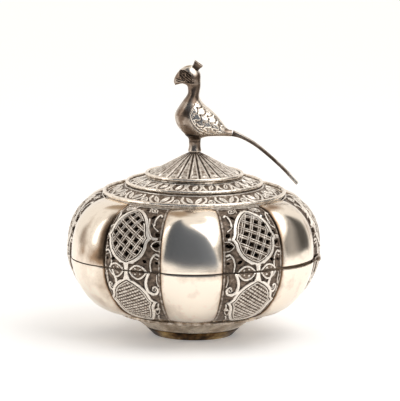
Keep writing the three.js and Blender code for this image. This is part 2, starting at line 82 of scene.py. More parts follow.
def silver(name, slot, clean, tarnish, gloss, cloud, planish, grain, metallic=1):
    """A finish and its slot: black, then tarnish, then clean silver, by a piece's "worn" attribute.

    gloss is the roughness where clean and where black. cloud is the size in mm of the tarnish's patches
    and their depth as a share. planish and grain are the size and depth, in mm, of the hammer's soft
    facets and of the fine scratches or punch marks.
    """
    material = bpy.data.materials.new(name)
    material.use_nodes = True
    place = add_node(material, "ShaderNodeTexCoord").outputs["Object"]
    worn = add_node(material, "ShaderNodeAttribute", attribute_name="worn").outputs["Fac"]
    clouds = {"Vector": place, "Scale": 1 / (cloud[0] * MM), "Detail": 4, "Roughness": 0.6}
    patches = add_node(material, "ShaderNodeTexNoise", clouds)
    spread = {"From Min": 0.35, "From Max": 0.65, "To Min": -cloud[1], "To Max": 0.4 * cloud[1]}
    patchy = add_node(material, "ShaderNodeMapRange", {"Value": patches, **spread})
    bright = add_node(material, "ShaderNodeMath", {0: worn, 1: patchy}, operation="ADD", use_clamp=True)
    colour = add_node(material, "ShaderNodeValToRGB", {"Fac": bright})
    stops = colour.color_ramp.elements
    stops[0].color = (*(BLACK_SHARE * channel for channel in linear(tarnish)[:3]), 1)
    stops[1].color = linear(clean)
    stops.new(TARNISH_PLACE).color = linear(tarnish)
    roughness = {"Value": bright, "To Min": gloss[1], "To Max": gloss[0]}
    rough = add_node(material, "ShaderNodeMapRange", roughness)
    normal = {}
    for (size, depth), detail in ((planish, 1), (grain, 3)):
        marks = {"Vector": place, "Scale": 1 / (size * MM), "Detail": detail}
        height = add_node(material, "ShaderNodeTexNoise", marks)
        bump = {"Height": height, "Strength": 1, "Distance": depth * MM, **normal}
        normal = {"Normal": add_node(material, "ShaderNodeBump", bump)}
    shader = material.node_tree.nodes["Principled BSDF"]
    connect(material, shader, {"Base Color": colour, "Metallic": metallic, "Roughness": rough, **normal})
    return material, slot


def make_piece(name, node, body, finish, shape, worn):
    """Puts a shape's points, and its faces of three or four corners, into a mesh that rides on a body.

    worn says how clean each point is rubbed, from 0, black, to 1.
    """
    points, faces = shape
    mesh = bpy.data.meshes.new(name)
    faces = [part for part in faces if len(part)]
    used, place = np.unique(np.concatenate([part.ravel() for part in faces]), return_inverse=True)
    sizes = np.concatenate([np.full(len(part), part.shape[1]) for part in faces])
    mesh.vertices.add(len(used))
    mesh.vertices.foreach_set("co", points.reshape(-1, 3)[used].astype(np.float32).ravel())
    mesh.loops.add(len(place))
    mesh.loops.foreach_set("vertex_index", place.astype(np.int32))
    mesh.polygons.add(len(sizes))
    mesh.polygons.foreach_set("loop_start", (np.cumsum(sizes) - sizes).astype(np.int32))
    mesh.polygons.foreach_set("use_smooth", np.ones(len(sizes), bool))
    mesh.update(calc_edges=True)
    mesh.validate()
    mesh.set_sharp_from_angle(angle=SHARP_ANGLE)
    layer = mesh.attributes.new("worn", "FLOAT", "POINT")
    levels = np.broadcast_to(worn, points.shape[:-1]).ravel()[used]
    layer.data.foreach_set("value", levels.astype(np.float32))
    mesh.materials.append(finish[0])
    piece = bpy.data.objects.new(name, mesh)
    bpy.context.scene.collection.objects.link(piece)
    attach(piece, body)
    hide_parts(node)


def grid_quads(rows, columns, close_rows=False, close_columns=False):
    """Faces of a grid of points, with its last row or column joined to its first where it closes."""
    index = np.arange(rows * columns).reshape(rows, columns)
    if close_rows:
        index = np.vstack([index, index[:1]])
    if close_columns:
        index = np.hstack([index, index[:, :1]])
    corners = [index[:-1, :-1], index[:-1, 1:], index[1:, 1:], index[1:, :-1]]
    return np.stack(corners, -1).reshape(-1, 4)


def rounded(corners, radius, steps=4):
    """A closed outline whose corners are turned into short curves: each starts and ends radius away."""
    corners = np.array(corners, float)
    before, after = np.roll(corners, 1, 0) - corners, np.roll(corners, -1, 0) - corners
    lengths = [np.linalg.norm(way, axis=1, keepdims=True) for way in (before, after)]
    reach = np.minimum(radius, 0.45 * np.minimum(*lengths))
    start, end = corners + before / lengths[0] * reach, corners + after / lengths[1] * reach
    start, corners, end = start[:, None], corners[:, None], end[:, None]
    share = np.linspace(0, 1, steps + 1)[None, :, None]
    curve = (1 - share) ** 2 * start + 2 * share * (1 - share) * corners + share**2 * end
    return curve.reshape(-1, 2)


def turns_of(steps):
    """The angles of a ring's steps, as a column."""
    return 2 * pi * np.arange(steps)[:, None] / steps


def turned(outline, steps, on_axis=False):
    """An outline of radius and height, which runs up its outside, turned round the upright axis.

    It closes on itself or, if on_axis, starts and ends on the axis, where fans of triangles meet.
    """
    angle = turns_of(steps)
    radius, height = outline[..., 0], outline[..., 1]
    points = np.stack([radius * np.sin(angle), -radius * np.cos(angle), height + 0 * angle], -1)
    count = points.shape[1]
    if not on_axis:
        return points, [grid_quads(steps, count, True, True)[:, ::-1]]
    index = np.arange(steps * count).reshape(steps, count)
    after = np.roll(index, -1, 0)
    body = np.stack([after[:, 1:-2], after[:, 2:-1], index[:, 2:-1], index[:, 1:-2]], -1).reshape(-1, 4)
    start = np.stack([np.full(steps, index[0, 0]), after[:, 1], index[:, 1]], -1)
    end = np.stack([after[:, -2], np.full(steps, index[0, -1]), index[:, -2]], -1)
    return points, [body, start, end]


def half_width(node):
    """Half a CAD node's width, which is the outer radius of a round one."""
    low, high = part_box(node)
    return (high.x - low.x) / 2


# Old tarnish on silver that nobody rubs: brown-gold patches, with dull and nearly black ones between.
foot_silver = silver(
    "tarnished_foot_silver", "foot_silver", "#bfa26b", "#6b4d28",
    gloss=(0.22, 0.45), cloud=(5, 0.5), planish=(6, 0.02), grain=(0.5, 0.006),
)
FOOT_TAPER, FOOT_WALL, FOOT_ROUND = 3.4 * MM, 1.8 * MM, 0.35 * MM
FOOT_STEPS, FOOT_PATCHES = 180, 5
foot_low, foot_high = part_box("foot_ring")
foot_top_radius = half_width("foot_ring")
foot_bottom_radius = foot_top_radius - FOOT_TAPER
foot_outline = rounded(
    [
        (foot_bottom_radius, foot_low.z),
        (foot_top_radius, foot_high.z),
        (foot_top_radius - FOOT_WALL, foot_high.z),
        (foot_bottom_radius - FOOT_WALL, foot_low.z),
    ],
    FOOT_ROUND,
)
foot_worn = 0.5 - 0.3 * np.cos(FOOT_PATCHES * turns_of(FOOT_STEPS))
make_piece("foot_ring_worn", "foot_ring", "base", foot_silver, turned(foot_outline, FOOT_STEPS), foot_worn)


# The twelve gores of each half: silver sheet, raised over a stake and soldered edge to edge. The formulas
# here give the outline of the creases, the gores' pillow shape and the trimmed rim of the lid.
SEAM_RADIUS = 51.8 * MM
SEAM_HEIGHT = 34 * MM
UPPER = {"radius": 37.1 * MM, "height": 58.4 * MM, "powers": (1.2, 0.75)}
LOWER = {"radius": 30.4 * MM, "height": 11 * MM, "powers": (1.02, 1.25)}
LOBES = 6
ARC_STEPS = 3000
CREASE_SHIFTS = (-1.5, -0.8, -3, 0, 0.4, -0.3, 0, 0.3, -0.2, -0.3, 0.6, -0.1)
SOLDER_GAP = 0.06 * MM
SHEET = 1.1 * MM
LOBE_CREST, LOBE_POWER = 2.1 * MM, 2.6
PANEL_CREST, PANEL_POWER = 0.7 * MM, 2
END_CREST_SHARE, END_CREST_POWER = 0.24, 6
FRONT_SEAM_GAP, HINGE_SEAM_GAP, SEAM_GAP_POWER = 0.5 * MM, 1.9 * MM, 5


def gore_span(gore):
    """The middle and half the width of a gore, as angles. Each crease lies a little off an even pitch."""
    ends = [
        (2 * crease_number + 1) * pi / (2 * LOBES) + radians(CREASE_SHIFTS[crease_number % (2 * LOBES)])
        for crease_number in (gore - 1, gore)
    ]
    return sum(ends) / 2, (ends[1] - ends[0]) / 2


def crease(half, turn):
    """Radius and height at a turn from the seam (0) to the gore's other end (a quarter turn), and the normal.

    Radius falls from the seam's as a power of the cosine, and height leaves it as a power of the sine.
    """
    spread, rise = SEAM_RADIUS - half["radius"], half["height"] - SEAM_HEIGHT
    power_r, power_z = half["powers"]
    c, s = np.clip(np.cos(turn), 0, 1), np.clip(np.sin(turn), 0, 1)
    inward = spread * power_r * s ** (2 - power_z)
    along = rise * power_z * c ** (2 - power_r)
    size = np.hypot(inward, along)
    radius, height = half["radius"] + spread * c**power_r, SEAM_HEIGHT + rise * s**power_z
    return radius, height, abs(along) / size, np.sign(rise) * inward / size


def arc_table(half):
    """Turns, and the outline's length from the seam to each of them."""
    turn = np.linspace(0, pi / 2, ARC_STEPS + 1)
    radius, height, _, _ = crease(half, turn)
    run = np.hypot(np.diff(radius), np.diff(height))
    return turn, np.concatenate([[0], np.cumsum(run)])


for half in (UPPER, LOWER):
    half["turns"], half["lengths"] = arc_table(half)
    half["length"] = half["lengths"][-1]


def on_gore(half, crest, power, span, across, up, depth):
    """Points on a gore: across and up are lengths along its sheet from its middle and from the seam.

    The surface stands proud of the crease by the crest's height, less a power of the place across, and
    lower at both ends. depth counts inwards from it. A lid gore's rim is lifted towards the hinge.
    """
    turn = np.interp(up, half["lengths"], half["turns"])
    radius, height, out, tilt = crease(half, turn)
    share = across / (span[1] * radius - SOLDER_GAP / 2)
    ends = 1 - (1 - END_CREST_SHARE) * np.sin(turn) ** END_CREST_POWER
    proud = crest * (1 - np.abs(share) ** power) * ends - depth
    angle = span[0] + across / radius
    radius, height = radius + out * proud, height + tilt * proud
    if half is UPPER:
        side = (radius * np.sin(angle) + SEAM_RADIUS) / (2 * SEAM_RADIUS)
        gap = FRONT_SEAM_GAP + (HINGE_SEAM_GAP - FRONT_SEAM_GAP) * side**SEAM_GAP_POWER
        height = height + gap * np.clip((half["height"] - height) / (half["height"] - SEAM_HEIGHT), 0, None)
    return np.stack([radius * np.sin(angle), -radius * np.cos(angle), height], -1)


def sheet_half_width(half, span, up):
    """Half the sheet's width at a length up from the seam."""
    radius = crease(half, np.interp(up, half["lengths"], half["turns"]))[0]
    return span[1] * radius - SOLDER_GAP / 2


def shell_faces(keep, flipped):
    """Faces of an outer and an inner grid of points, joined by walls round the cells that are kept.

    keep says which cells are there. Columns run to the right as seen from outside, and rows run up, or
    down where flipped.
    """
    rows, columns = keep.shape[0] + 1, keep.shape[1] + 1
    outer = np.arange(rows * columns).reshape(rows, columns)
    inner = outer + rows * columns
    faces = []
    for grid, way in ((outer, 1), (inner, -1)):
        corners = [grid[:-1, :-1], grid[:-1, 1:], grid[1:, 1:], grid[1:, :-1]]
        faces.append(np.stack(corners, -1)[keep][:, ::way])
    beside = np.pad(keep, 1)
    left, right = beside[1:-1, :-1], beside[1:-1, 1:]
    below, above = beside[:-1, 1:-1], beside[1:, 1:-1]
    for mask, way in ((left & ~right, 1), (right & ~left, -1)):
        ends = [outer[:-1], inner[:-1], inner[1:], outer[1:]]
        faces.append(np.stack(ends, -1)[mask][:, ::way])
    for mask, way in ((below & ~above, 1), (above & ~below, -1)):
        ends = [outer[:, :-1], outer[:, 1:], inner[:, 1:], inner[:, :-1]]
        faces.append(np.stack(ends, -1)[mask][:, ::way])
    return [part[:, :: -1 if flipped else 1] for part in faces]


def bell(value, width):
    """A bell curve, 1 where the value is 0, which falls away within the width to each side."""
    return np.exp(-((value / width) ** 2))


def edge_drop(distance, radius):
    """How far a surface falls at a distance from its edge, so that the edge is a quarter round."""
    inside = np.clip(radius - distance, 0, radius)
    return radius - np.sqrt(radius**2 - inside**2)


# The plain lobes: sheet raised from behind, planished smooth and polished. They are worn bright in the
# middle and darker beside the creases. Lobes 1, 2 and 6 carry dark patches, partly warm tarnish and partly
# painted shade that dims where a lamp is mirrored.

# Polished silver mirrors the room, a little softly because of fine wiping scratches.
lobe_silver = silver(
    "polished_lobe_silver", "polished_silver", "#f8ecdc", "#a0856c",
    gloss=(0.16, 0.38), cloud=(8, 0.22), planish=(7, 0.05), grain=(0.6, 0.004),
)
LOBE_EDGE_ROUND, LOBE_RIM_ROUND = 0.45 * MM, 0.1 * MM
CREASE_DARKENING_WIDTH, CREASE_LINE_WIDTH = 1.5 * MM, 0.55 * MM
LOBE_COLUMNS, LOBE_ROWS = 60, 72
LID_STAINS_AND_PAINTED_SHADE = {
    1: ((0.5, 1, 0.5, 2, 0.2), (-0.1, 29, 1, 1.2, 0.2)),
    2: (
        (-0.55, 27, 0.35, 3, 0.75),
        (0.42, 10, 0.07, 7, 0.4),
        (0.62, 9, 0.05, 8, 0.35),
        (-0.95, 20, 0.12, 10, 0.5),
    ),
    6: (
        (0.75, 3.2, 0.36, 4, 0.64),
        (0.9, 12, 0.14, 9, 0.8),
        (0.13, 5.2, 0.18, 3.6, 0.5),
        (0.2, 14, 0.1, 9, 0.2),
    ),
}
BASE_STAINS_AND_PAINTED_SHADE = {
    1: ((0.4, 0.6, 0.6, 1.2, 0.3), (-0.3, 1, 0.3, 2, 0.15), (0, 27, 1, 3, 0.2)),
    2: ((-0.1, 7, 0.08, 5, 0.12), (0.1, 12, 0.3, 4, 0.1), (0, 27, 1, 3, 0.25)),
    6: ((0.82, 7, 0.22, 10, 0.4), (0.5, 17, 0.2, 5, 0.15), (0, 27, 1, 3, 0.25)),
}


def stains_and_painted_shade(table, share, up):
    """Soft dark patches, partly tarnish and partly painted shade; bell curves both ways, which add up.

    A patch has its place across as a share and up in mm from the seam, its width as a share, its height
    in mm, and its depth.
    """
    depth = 0
    for across, height, wide, tall, dark in table:
        depth = depth + dark * np.exp(-(((share - across) / wide) ** 2) - ((up / MM - height) / tall) ** 2)
    return depth


def lobe(half, number):
    """One lobe: a grid with its columns closer together at the creases, where the sheet turns in fast."""
    span = gore_span(2 * (number - 1))
    share = np.sin(np.linspace(-pi / 2, pi / 2, LOBE_COLUMNS + 1))[None, :]
    up = np.linspace(0, half["length"], LOBE_ROWS + 1)[:, None]
    width = sheet_half_width(half, span, up)
    across = share * width
    to_side, to_end = width - np.abs(across), np.minimum(up, half["length"] - up)
    fall = edge_drop(to_side, LOBE_EDGE_ROUND) + edge_drop(to_end, LOBE_RIM_ROUND)
    outer = on_gore(half, LOBE_CREST, LOBE_POWER, span, across, up, fall)
    inner = on_gore(half, LOBE_CREST, LOBE_POWER, span, across, up, SHEET)
    # Darker beside the creases in a broad band and a fine line; then dark patches, partly tarnish and partly
    # painted shade.
    darkening_and_painted_shade = 0.35 * np.exp(-to_side / CREASE_DARKENING_WIDTH) + 0.6 * bell(to_side, CREASE_LINE_WIDTH)
    darkening_and_painted_shade = darkening_and_painted_shade + stains_and_painted_shade((LID_STAINS_AND_PAINTED_SHADE if half is UPPER else BASE_STAINS_AND_PAINTED_SHADE).get(number, ()), share, up)
    faces = shell_faces(np.ones((LOBE_ROWS, LOBE_COLUMNS), bool), half is LOWER)
    return (np.stack([outer, inner]), faces), np.stack([1.12 - darkening_and_painted_shade, 0.6 + 0 * darkening_and_painted_shade])


for half, owner in ((LOWER, "base"), (UPPER, "lid")):
    for number in range(1, LOBES + 1):
        shape, worn = lobe(half, number)
        name = f"{owner}_plain_lobe_{number}"
        make_piece(name, f"{owner}_lobe_{number}", owner, lobe_silver, shape, worn)


# The chased panels: the sheet is filled with pitch, its pattern is driven with punches from outside, and
# the ground round it is matted and left dark. The lid's are also pierced with a saw. Each was drawn by
# eye, so its cartouche and lattice stand a little off its middle. Sizes in mm, counted from the seam.

# Punched sheet scatters light as a matt surface does, so that half of it counts as metal. Its ground is
# blotched with tarnish and painted black at the foot of raised lines, as painted shade, and its raised
# lines are rubbed clean.
MATT_METAL_SHARE = 0.5
chased_silver = silver(
    "chased_panel_silver", "chased_silver", "#fff6ea", "#7d6b5b",
    gloss=(0.26, 0.55), cloud=(1.5, 0.3), planish=(3, 0.02), grain=(0.35, 0.01), metallic=MATT_METAL_SHARE,
)
RELIEF_DEPTH = 0.55
PUNCH_SOFTNESS = 0.26
PANEL_EDGE_ROUND = 0.25 * MM
LID_LENGTH, BASE_LENGTH = UPPER["length"] / MM, LOWER["length"] / MM
LID_CARTOUCHE = {
    "start": 0.09 * LID_LENGTH,
    "waist": 0.433 * LID_LENGTH,
    "end": 0.866 * LID_LENGTH,
    "half_width": 9.6,
    "body": 0.88,
    "point": 0.22,
    "before": (3, 0.78),
    "after": (2, 0.78),
}
BASE_CARTOUCHE = {
    "start": 3.6,
    "waist": 13.8,
    "end": 29.5,
    "half_width": 9.3,
    "body": 0.83,
    "point": 0.25,
    "before": (3, 1.1),
    "after": (2, 0.8),
}
LATTICE_PITCH, LATTICE_HOLE, LATTICE_BORDER, LATTICE_MARGIN = 3.5, 1.65, 1.1, 1.4
LATTICE_MIDDLE = 0.46 * LID_LENGTH
LATTICE_TURNS = (65, 60, 62, 59, 64, 58)
LATTICE_OFFSETS = (0.3, -0.4, 0.2, -0.8, 0.5, -1)
CARTOUCHE_OFFSETS = (1.3, -0.3, 0.4, -0.9, 0.6, -1.5)
CARTOUCHE_LEAN = -0.6
NEAR_SHARE = 0.6
PIERCED_SHARE = 1.06
NECK_HALF_WIDTH = 0.85
HATCH_PITCH, HATCH_TURNS = 1.4, (33, -24)
SIDE_PIERCINGS = (
    ((10.9, 11.1), 1.75, 0.95, 8),
    ((10.6, 15.6), 1.35, 0.95, -35),
    ((11.7, 3.8), 0.95, 0.6, -20),
)
NEAR_PIERCINGS = (
    ((7, 24), 1.45, 0.85, 60),
    ((7.5, 4.1), 1.2, 0.75, -30),
    ((2.3, 28.4), 0.95, 0.6, 60),
)
PIERCING_ROOM = 0.85
SLOPE_STEP, LEAST_SLOPE, LONGEST_MOVE = 0.02, 0.3, 0.15
PANEL_INSIDE_WORN = 0.35


def raised(distance, softness=PUNCH_SOFTNESS):
    """1 inside a shape and 0 outside it, with a rounded shoulder, from the distance to its edge."""
    share = np.clip(0.5 - distance / softness, 0, 1)
    return share * share * (3 - 2 * share)


def smooth_through(rows, count):
    """A Catmull-Rom curve through rows of values, at count even places."""
    rows = np.array(rows, float)
    rows = np.vstack([2 * rows[0] - rows[1], rows, 2 * rows[-1] - rows[-2]])
    place = np.linspace(0, len(rows) - 3 - 1e-9, count)
    first = place.astype(int)
    t = (place - first)[:, None]
    a, b, c, d = (rows[first + i] for i in range(4))
    return 0.5 * (2 * b + (c - a) * t + (2 * a - 5 * b + 4 * c - d) * t**2 + (3 * b - a - 3 * c + d) * t**3)


def stroke(x, y, route, thick_start, thick_end):
    """Distance to a bar along a smooth curve through a few points: the least distance to its short chords."""
    line = smooth_through(route, 5 * len(route))
    thick = np.linspace(thick_start, thick_end, len(line) - 1)
    nearest = 99
    for (x0, y0), (x1, y1), width in zip(line[:-1], line[1:], thick):
        run_x, run_y = x1 - x0, y1 - y0
        share = np.clip(((x - x0) * run_x + (y - y0) * run_y) / (run_x**2 + run_y**2), 0, 1)
        nearest = np.minimum(nearest, np.hypot(x - x0 - share * run_x, y - y0 - share * run_y) - width / 2)
    return nearest


def almond(x, y, middle, half_length, half_width, turn):
    """Distance to a pointed leaf: its half width falls with the square of the place along it."""
    x, y, turn = x - middle[0], y - middle[1], radians(turn)
    along = np.abs(x * np.cos(turn) + y * np.sin(turn))
    across = np.abs(y * np.cos(turn) - x * np.sin(turn))
    side = across - half_width * (1 - (along / half_length) ** 2)
    slope = 2 * half_width * along / half_length**2
    return np.where(along < half_length, side / np.sqrt(1 + slope**2), np.hypot(along - half_length, across))


def leaf(x, y, middle, half_length, half_width, turn, vein=0.2):
    """A raised leaf with a groove along its middle."""
    body = raised(almond(x, y, middle, half_length, half_width, turn))
    return body * (1 - 0.7 * raised(almond(x, y, middle, 0.8 * half_length, vein, turn)))


def ridge(distance, reach, softness=PUNCH_SOFTNESS):
    """A raised line where a distance is 0, which reaches as far to each side."""
    return raised(np.abs(distance) - reach, softness)


def rim(distance, width):
    """A raised line just inside a shape's edge."""
    return ridge(distance + width / 2, width / 2)


def most(*levels):
    """The highest of several levels at each place."""
    return np.maximum.reduce(np.broadcast_arrays(*levels))


def bars(x, y, *rows):
    """Raised bars, each given by its route and its width at both ends, in mm."""
    return most(*(raised(stroke(x, y, *row)) for row in rows))


def cartouche_width(shape, y):
    """Half a cartouche's width at a length from the seam: a rounded body with a short point at its waist."""
    before = y < shape["waist"]
    reach = np.where(before, shape["waist"] - shape["start"], shape["end"] - shape["waist"])
    share = np.clip(np.abs(y - shape["waist"]) / reach, 0, 1)
    power, bend = (np.where(before, *pair) for pair in zip(shape["before"], shape["after"]))
    point = np.clip(1 - share / shape["point"], 0, None) ** 2
    return shape["half_width"] * (shape["body"] * (1 - share**power) ** bend + (1 - shape["body"]) * point)


def cartouche_distance(shape, x, y):
    """Distance to a cartouche's outline, less than 0 inside."""
    wider, narrower = cartouche_width(shape, y + SLOPE_STEP), cartouche_width(shape, y - SLOPE_STEP)
    slope = (wider - narrower) / (2 * SLOPE_STEP)
    beside = (np.abs(x) - cartouche_width(shape, y)) / np.sqrt(1 + slope**2)
    outside = np.maximum(shape["start"] - y, y - shape["end"])
    return np.where(outside < 0, beside, np.hypot(x, outside))


def leaning(offset, up):
    """Where a cartouche's middle line lies at a height: it leaves its neck and leans over by its waist."""
    return offset + CARTOUCHE_LEAN * np.clip(up / LID_CARTOUCHE["waist"], 0, 1)


def seam_leaf(side, y, depth):
    """The leaf that straddles the seam on each side of the neck: a rim, and two small buds inside it."""
    edge = almond(side, y, (5.2, 0), 4.1, depth, 0)
    first, second = np.hypot((side - 4.2) * 0.8, y - 0.9) - 0.42, np.hypot(side - 6.3, y - 0.6) - 0.35
    return most(rim(edge, 0.75), 0.9 * most(raised(first), raised(second)), 0.3 * raised(edge))


def lattice_grid(x, up, number):
    """Places along the turned grid of the lattice, and its nearest crossing of hole rows."""
    turn = radians(LATTICE_TURNS[number])
    x, up = x - LATTICE_OFFSETS[number], up - LATTICE_MIDDLE
    p, q = x * cos(turn) + up * sin(turn), up * cos(turn) - x * sin(turn)
    i, j = np.round(p / LATTICE_PITCH), np.round(q / LATTICE_PITCH)
    centre_x = LATTICE_OFFSETS[number] + LATTICE_PITCH * (i * cos(turn) - j * sin(turn))
    centre_up = LATTICE_MIDDLE + LATTICE_PITCH * (i * sin(turn) + j * cos(turn))
    return p, q, i, j, centre_x, centre_up


def lid_holes(x, up, number):
    """Distance to the nearest piercing: a square of the lattice, or an almond between the scrolls."""
    middle = CARTOUCHE_OFFSETS[number]
    p, q, i, j, centre_x, centre_up = lattice_grid(x, up, number)
    room = np.minimum(*(cartouche_width(LID_CARTOUCHE, centre_up + way * LATTICE_MARGIN) for way in (-1, 1)))
    there = np.abs(centre_x - middle) <= room * PIERCED_SHARE - LATTICE_BORDER
    square = np.maximum(np.abs(p - i * LATTICE_PITCH), np.abs(q - j * LATTICE_PITCH)) - LATTICE_HOLE / 2
    outline = cartouche_distance(LID_CARTOUCHE, x - leaning(middle, up), up)
    side, near = np.abs(x), np.abs(x - NEAR_SHARE * middle)
    drops = [almond(side, up, *row) for row in SIDE_PIERCINGS]
    drops += [almond(near, up, *row) for row in NEAR_PIERCINGS]
    drop = np.maximum(np.minimum.reduce(drops), PIERCING_ROOM - outline)
    return np.minimum(np.where(there, square, LATTICE_PITCH), drop)


def woven(x, up, number):
    """The lattice's strips: each has two ridges, and passes over and under the others by turns."""
    p, q = lattice_grid(x, up, number)[:2]
    levels = []
    for over, place, other in ((1, p, q), (-1, q, p)):
        strip = np.mod(place / LATTICE_PITCH, 1) - 0.5
        row = np.floor(place / LATTICE_PITCH)
        ridges = np.sin(4 * pi * strip) ** 2
        weave = 0.86 + 0.14 * over * np.cos(pi * row) * np.cos(pi * (other / LATTICE_PITCH - 0.5))
        levels.append(np.where(np.abs(strip) < 0.26, weave * (0.1 + 0.9 * ridges), 0))
    return np.maximum(*levels)


def hatching(x, y, turn):
    """Two sets of fine grooves crossed at a right angle. The second set is cut less deep."""
    p, q = x * cos(turn) + y * sin(turn), y * cos(turn) - x * sin(turn)
    deep, light = (np.cos(pi * place / HATCH_PITCH) ** 4 for place in (q, p))
    return 0.9 - 0.85 * np.maximum(deep, 0.6 * light)


def lid_pattern(x, up, width, number):
    """Level from 0 (ground) to 1 (raised) over a lid panel."""
    edge, side, near = width - np.abs(x), np.abs(x), np.abs(x - NEAR_SHARE * CARTOUCHE_OFFSETS[number])
    from_middle = x - leaning(CARTOUCHE_OFFSETS[number], up)
    outline = cartouche_distance(LID_CARTOUCHE, from_middle, up)
    neck = np.maximum(np.abs(from_middle) - NECK_HALF_WIDTH - 0.06 * up**2, up - LID_CARTOUCHE["start"] - 0.4)
    border = most(ridge(outline - 0.1, 0.62), ridge(outline + 1.15, 0.24), raised(neck))
    carved = most(
        0.5 * raised(edge - 0.9),
        seam_leaf(np.abs(from_middle), up, 2.6),
        bars(
            side, up,
            (((9.5, 0), (9.1, 3), (9.6, 5.6), (11, 7.3), (12.4, 7)), 0.6, 0.9),
            (((10.6, 6.1), (11.4, 5.8), (12.2, 5.4)), 0.3, 0.5),
            (((12.9, 8.7), (10.7, 9.1), (8.9, 10.8), (10.4, 12.6), (12.6, 12.8)), 0.35, 0.5),
        ),
        bars(
            near, up,
            (((6, 22.5), (7, 19), (8, 16), (9.3, 14), (11.5, 13.7)), 0.6, 1.15),
            (((8, 20.6), (9.4, 18.6), (11.3, 17.2)), 0.3, 0.5),
            (((9.1, 19.6), (8.7, 21.6), (8.9, 24), (9.7, 25.3), (10.5, 24.4)), 0.6, 0.8),
        ),
        rim(almond(near, up, (5.7, 27.8), 2.3, 1.35, -40), 0.5),
        raised(almond(near, up, (5.7, 27.8), 1.1, 0.45, -40)),
        0.8 * ridge(near - 4.4 + 0.25 * (up - 25), 0.25) * (up > 26.5),
        0.9 * ridge(up - LID_LENGTH + 0.8, 0.3),
    )
    outer = np.where(outline < 0.9, border, np.maximum(carved, border))
    return np.where(outline < -1.5, woven(x, up, number), outer)


def base_pattern(x, down, width, number):
    """Level from 0 (ground) to 1 (raised) over a base panel."""
    edge, side = width - np.abs(x), np.abs(x)
    from_middle = x - CARTOUCHE_OFFSETS[number]
    outline = cartouche_distance(BASE_CARTOUCHE, from_middle, down)
    neck = np.maximum(np.abs(from_middle) - NECK_HALF_WIDTH - 0.08 * down**2, down - BASE_CARTOUCHE["start"])
    lines = ridge(outline - 0.78, 0.62), 0.92 * ridge(outline + 0.5, 0.3)
    border = most(*lines, raised(neck))
    carved = most(
        0.5 * raised(edge - 0.9),
        seam_leaf(np.abs(from_middle), down, 3.1),
        bars(
            side, down,
            (((8.5, 0), (7.3, 3), (6.9, 5.5), (7.3, 8), (8.8, 9.4)), 1.1, 1.4),
            (((8.8, 9.4), (10.6, 9.1), (11.5, 7.4), (10.8, 5.9), (9.6, 6.2)), 1.35, 0.5),
            (((11.9, 0.8), (11.7, 3.4), (12, 5.6)), 0.4, 0.5),
            (((9.9, 14.6), (9.3, 16.6), (9.5, 18.4)), 0.7, 0.3),
            (((7, 23), (6, 25), (5.6, 27.2)), 0.7, 0.4),
        ),
        ridge(np.hypot(side - 9.9, down - 7.3) - 0.65, 0.22),
        rim(almond(side, down, (7.9, 19.4), 2.9, 1.05, 113), 0.42),
        raised(almond(side, down, (8.4, 18), 0.9, 0.4, 113)),
        0.8 * ridge(down - BASE_LENGTH + 0.9, 0.3),
    )
    outer = np.where(outline < 1.1, border, np.maximum(carved, border))
    hatched = hatching(from_middle, down, radians(HATCH_TURNS[number % 2]))
    return np.where(outline < -0.9, hatched, outer)


def softened(level, passes):
    """A grid of levels averaged with its neighbours, some times over."""
    for _ in range(passes):
        level = np.pad(level, 1, mode="edge")
        level = (level[:-2] + 2 * level[1:-1] + level[2:]) / 4
        level = (level[:, :-2] + 2 * level[:, 1:-1] + level[:, 2:]) / 4
    return level


def rubbed_with_painted_shade(level, passes=8):
    """Raised parts rubbed clean, open ground dull, and ground beside raised parts painted black as shade."""
    # Painted shade: ground near raised parts, where the blurred level is high, stays black.
    beside = np.clip(2.2 * softened(level, passes), 0, 1)
    return 0.06 + 1.08 * level + 0.3 * (1 - level) * (1 - beside)


def panel(half, number, columns, rows):
    """One panel: a fine grid sunk by its pattern, with the cells inside holes left out.

    The points round a hole are moved on to its edge, along the slope of the distance to it.
    """
    span, top = gore_span(2 * number + 1), half["length"] / MM
    up = np.linspace(0, top, rows)[:, None] + np.zeros((1, columns))
    across = np.linspace(-1, 1, columns)[None, :] * sheet_half_width(half, span, up * MM) / MM
    keep = np.ones((rows - 1, columns - 1), bool)
    if half is UPPER:
        hole = lid_holes(across, up, number)
        keep = (hole[:-1, :-1] + hole[:-1, 1:] + hole[1:, :-1] + hole[1:, 1:]) > 0
        beside = np.pad(keep, 1, mode="edge")
        corners = [beside[:-1, :-1], beside[:-1, 1:], beside[1:, :-1], beside[1:, 1:]]
        on_rim = np.any(corners, 0) & ~np.all(corners, 0)
        on_rim[[0, -1], :] = on_rim[:, [0, -1]] = False
        slope_x, slope_y = (
            (lid_holes(across + x, up + y, number) - lid_holes(across - x, up - y, number)) / (2 * SLOPE_STEP)
            for x, y in ((SLOPE_STEP, 0), (0, SLOPE_STEP))
        )
        move = np.where(on_rim, np.clip(hole, -LONGEST_MOVE, LONGEST_MOVE), 0)
        move = move / np.maximum(slope_x**2 + slope_y**2, LEAST_SLOPE)
        across, up = across - move * slope_x, np.clip(up - move * slope_y, 0, top)
    width = sheet_half_width(half, span, up * MM) / MM
    level = (lid_pattern if half is UPPER else base_pattern)(across, up, width, number)
    to_edge = np.minimum(width - np.abs(across), np.minimum(up, top - up)) * MM
    sunk = RELIEF_DEPTH * MM * (1 - level) + edge_drop(to_edge, PANEL_EDGE_ROUND)
    outer = on_gore(half, PANEL_CREST, PANEL_POWER, span, across * MM, up * MM, sunk)
    inner = on_gore(half, PANEL_CREST, PANEL_POWER, span, across * MM, up * MM, SHEET)
    shape = np.stack([outer, inner]), shell_faces(keep, half is LOWER)
    return shape, np.stack([rubbed_with_painted_shade(level), PANEL_INSIDE_WORN + 0 * level])


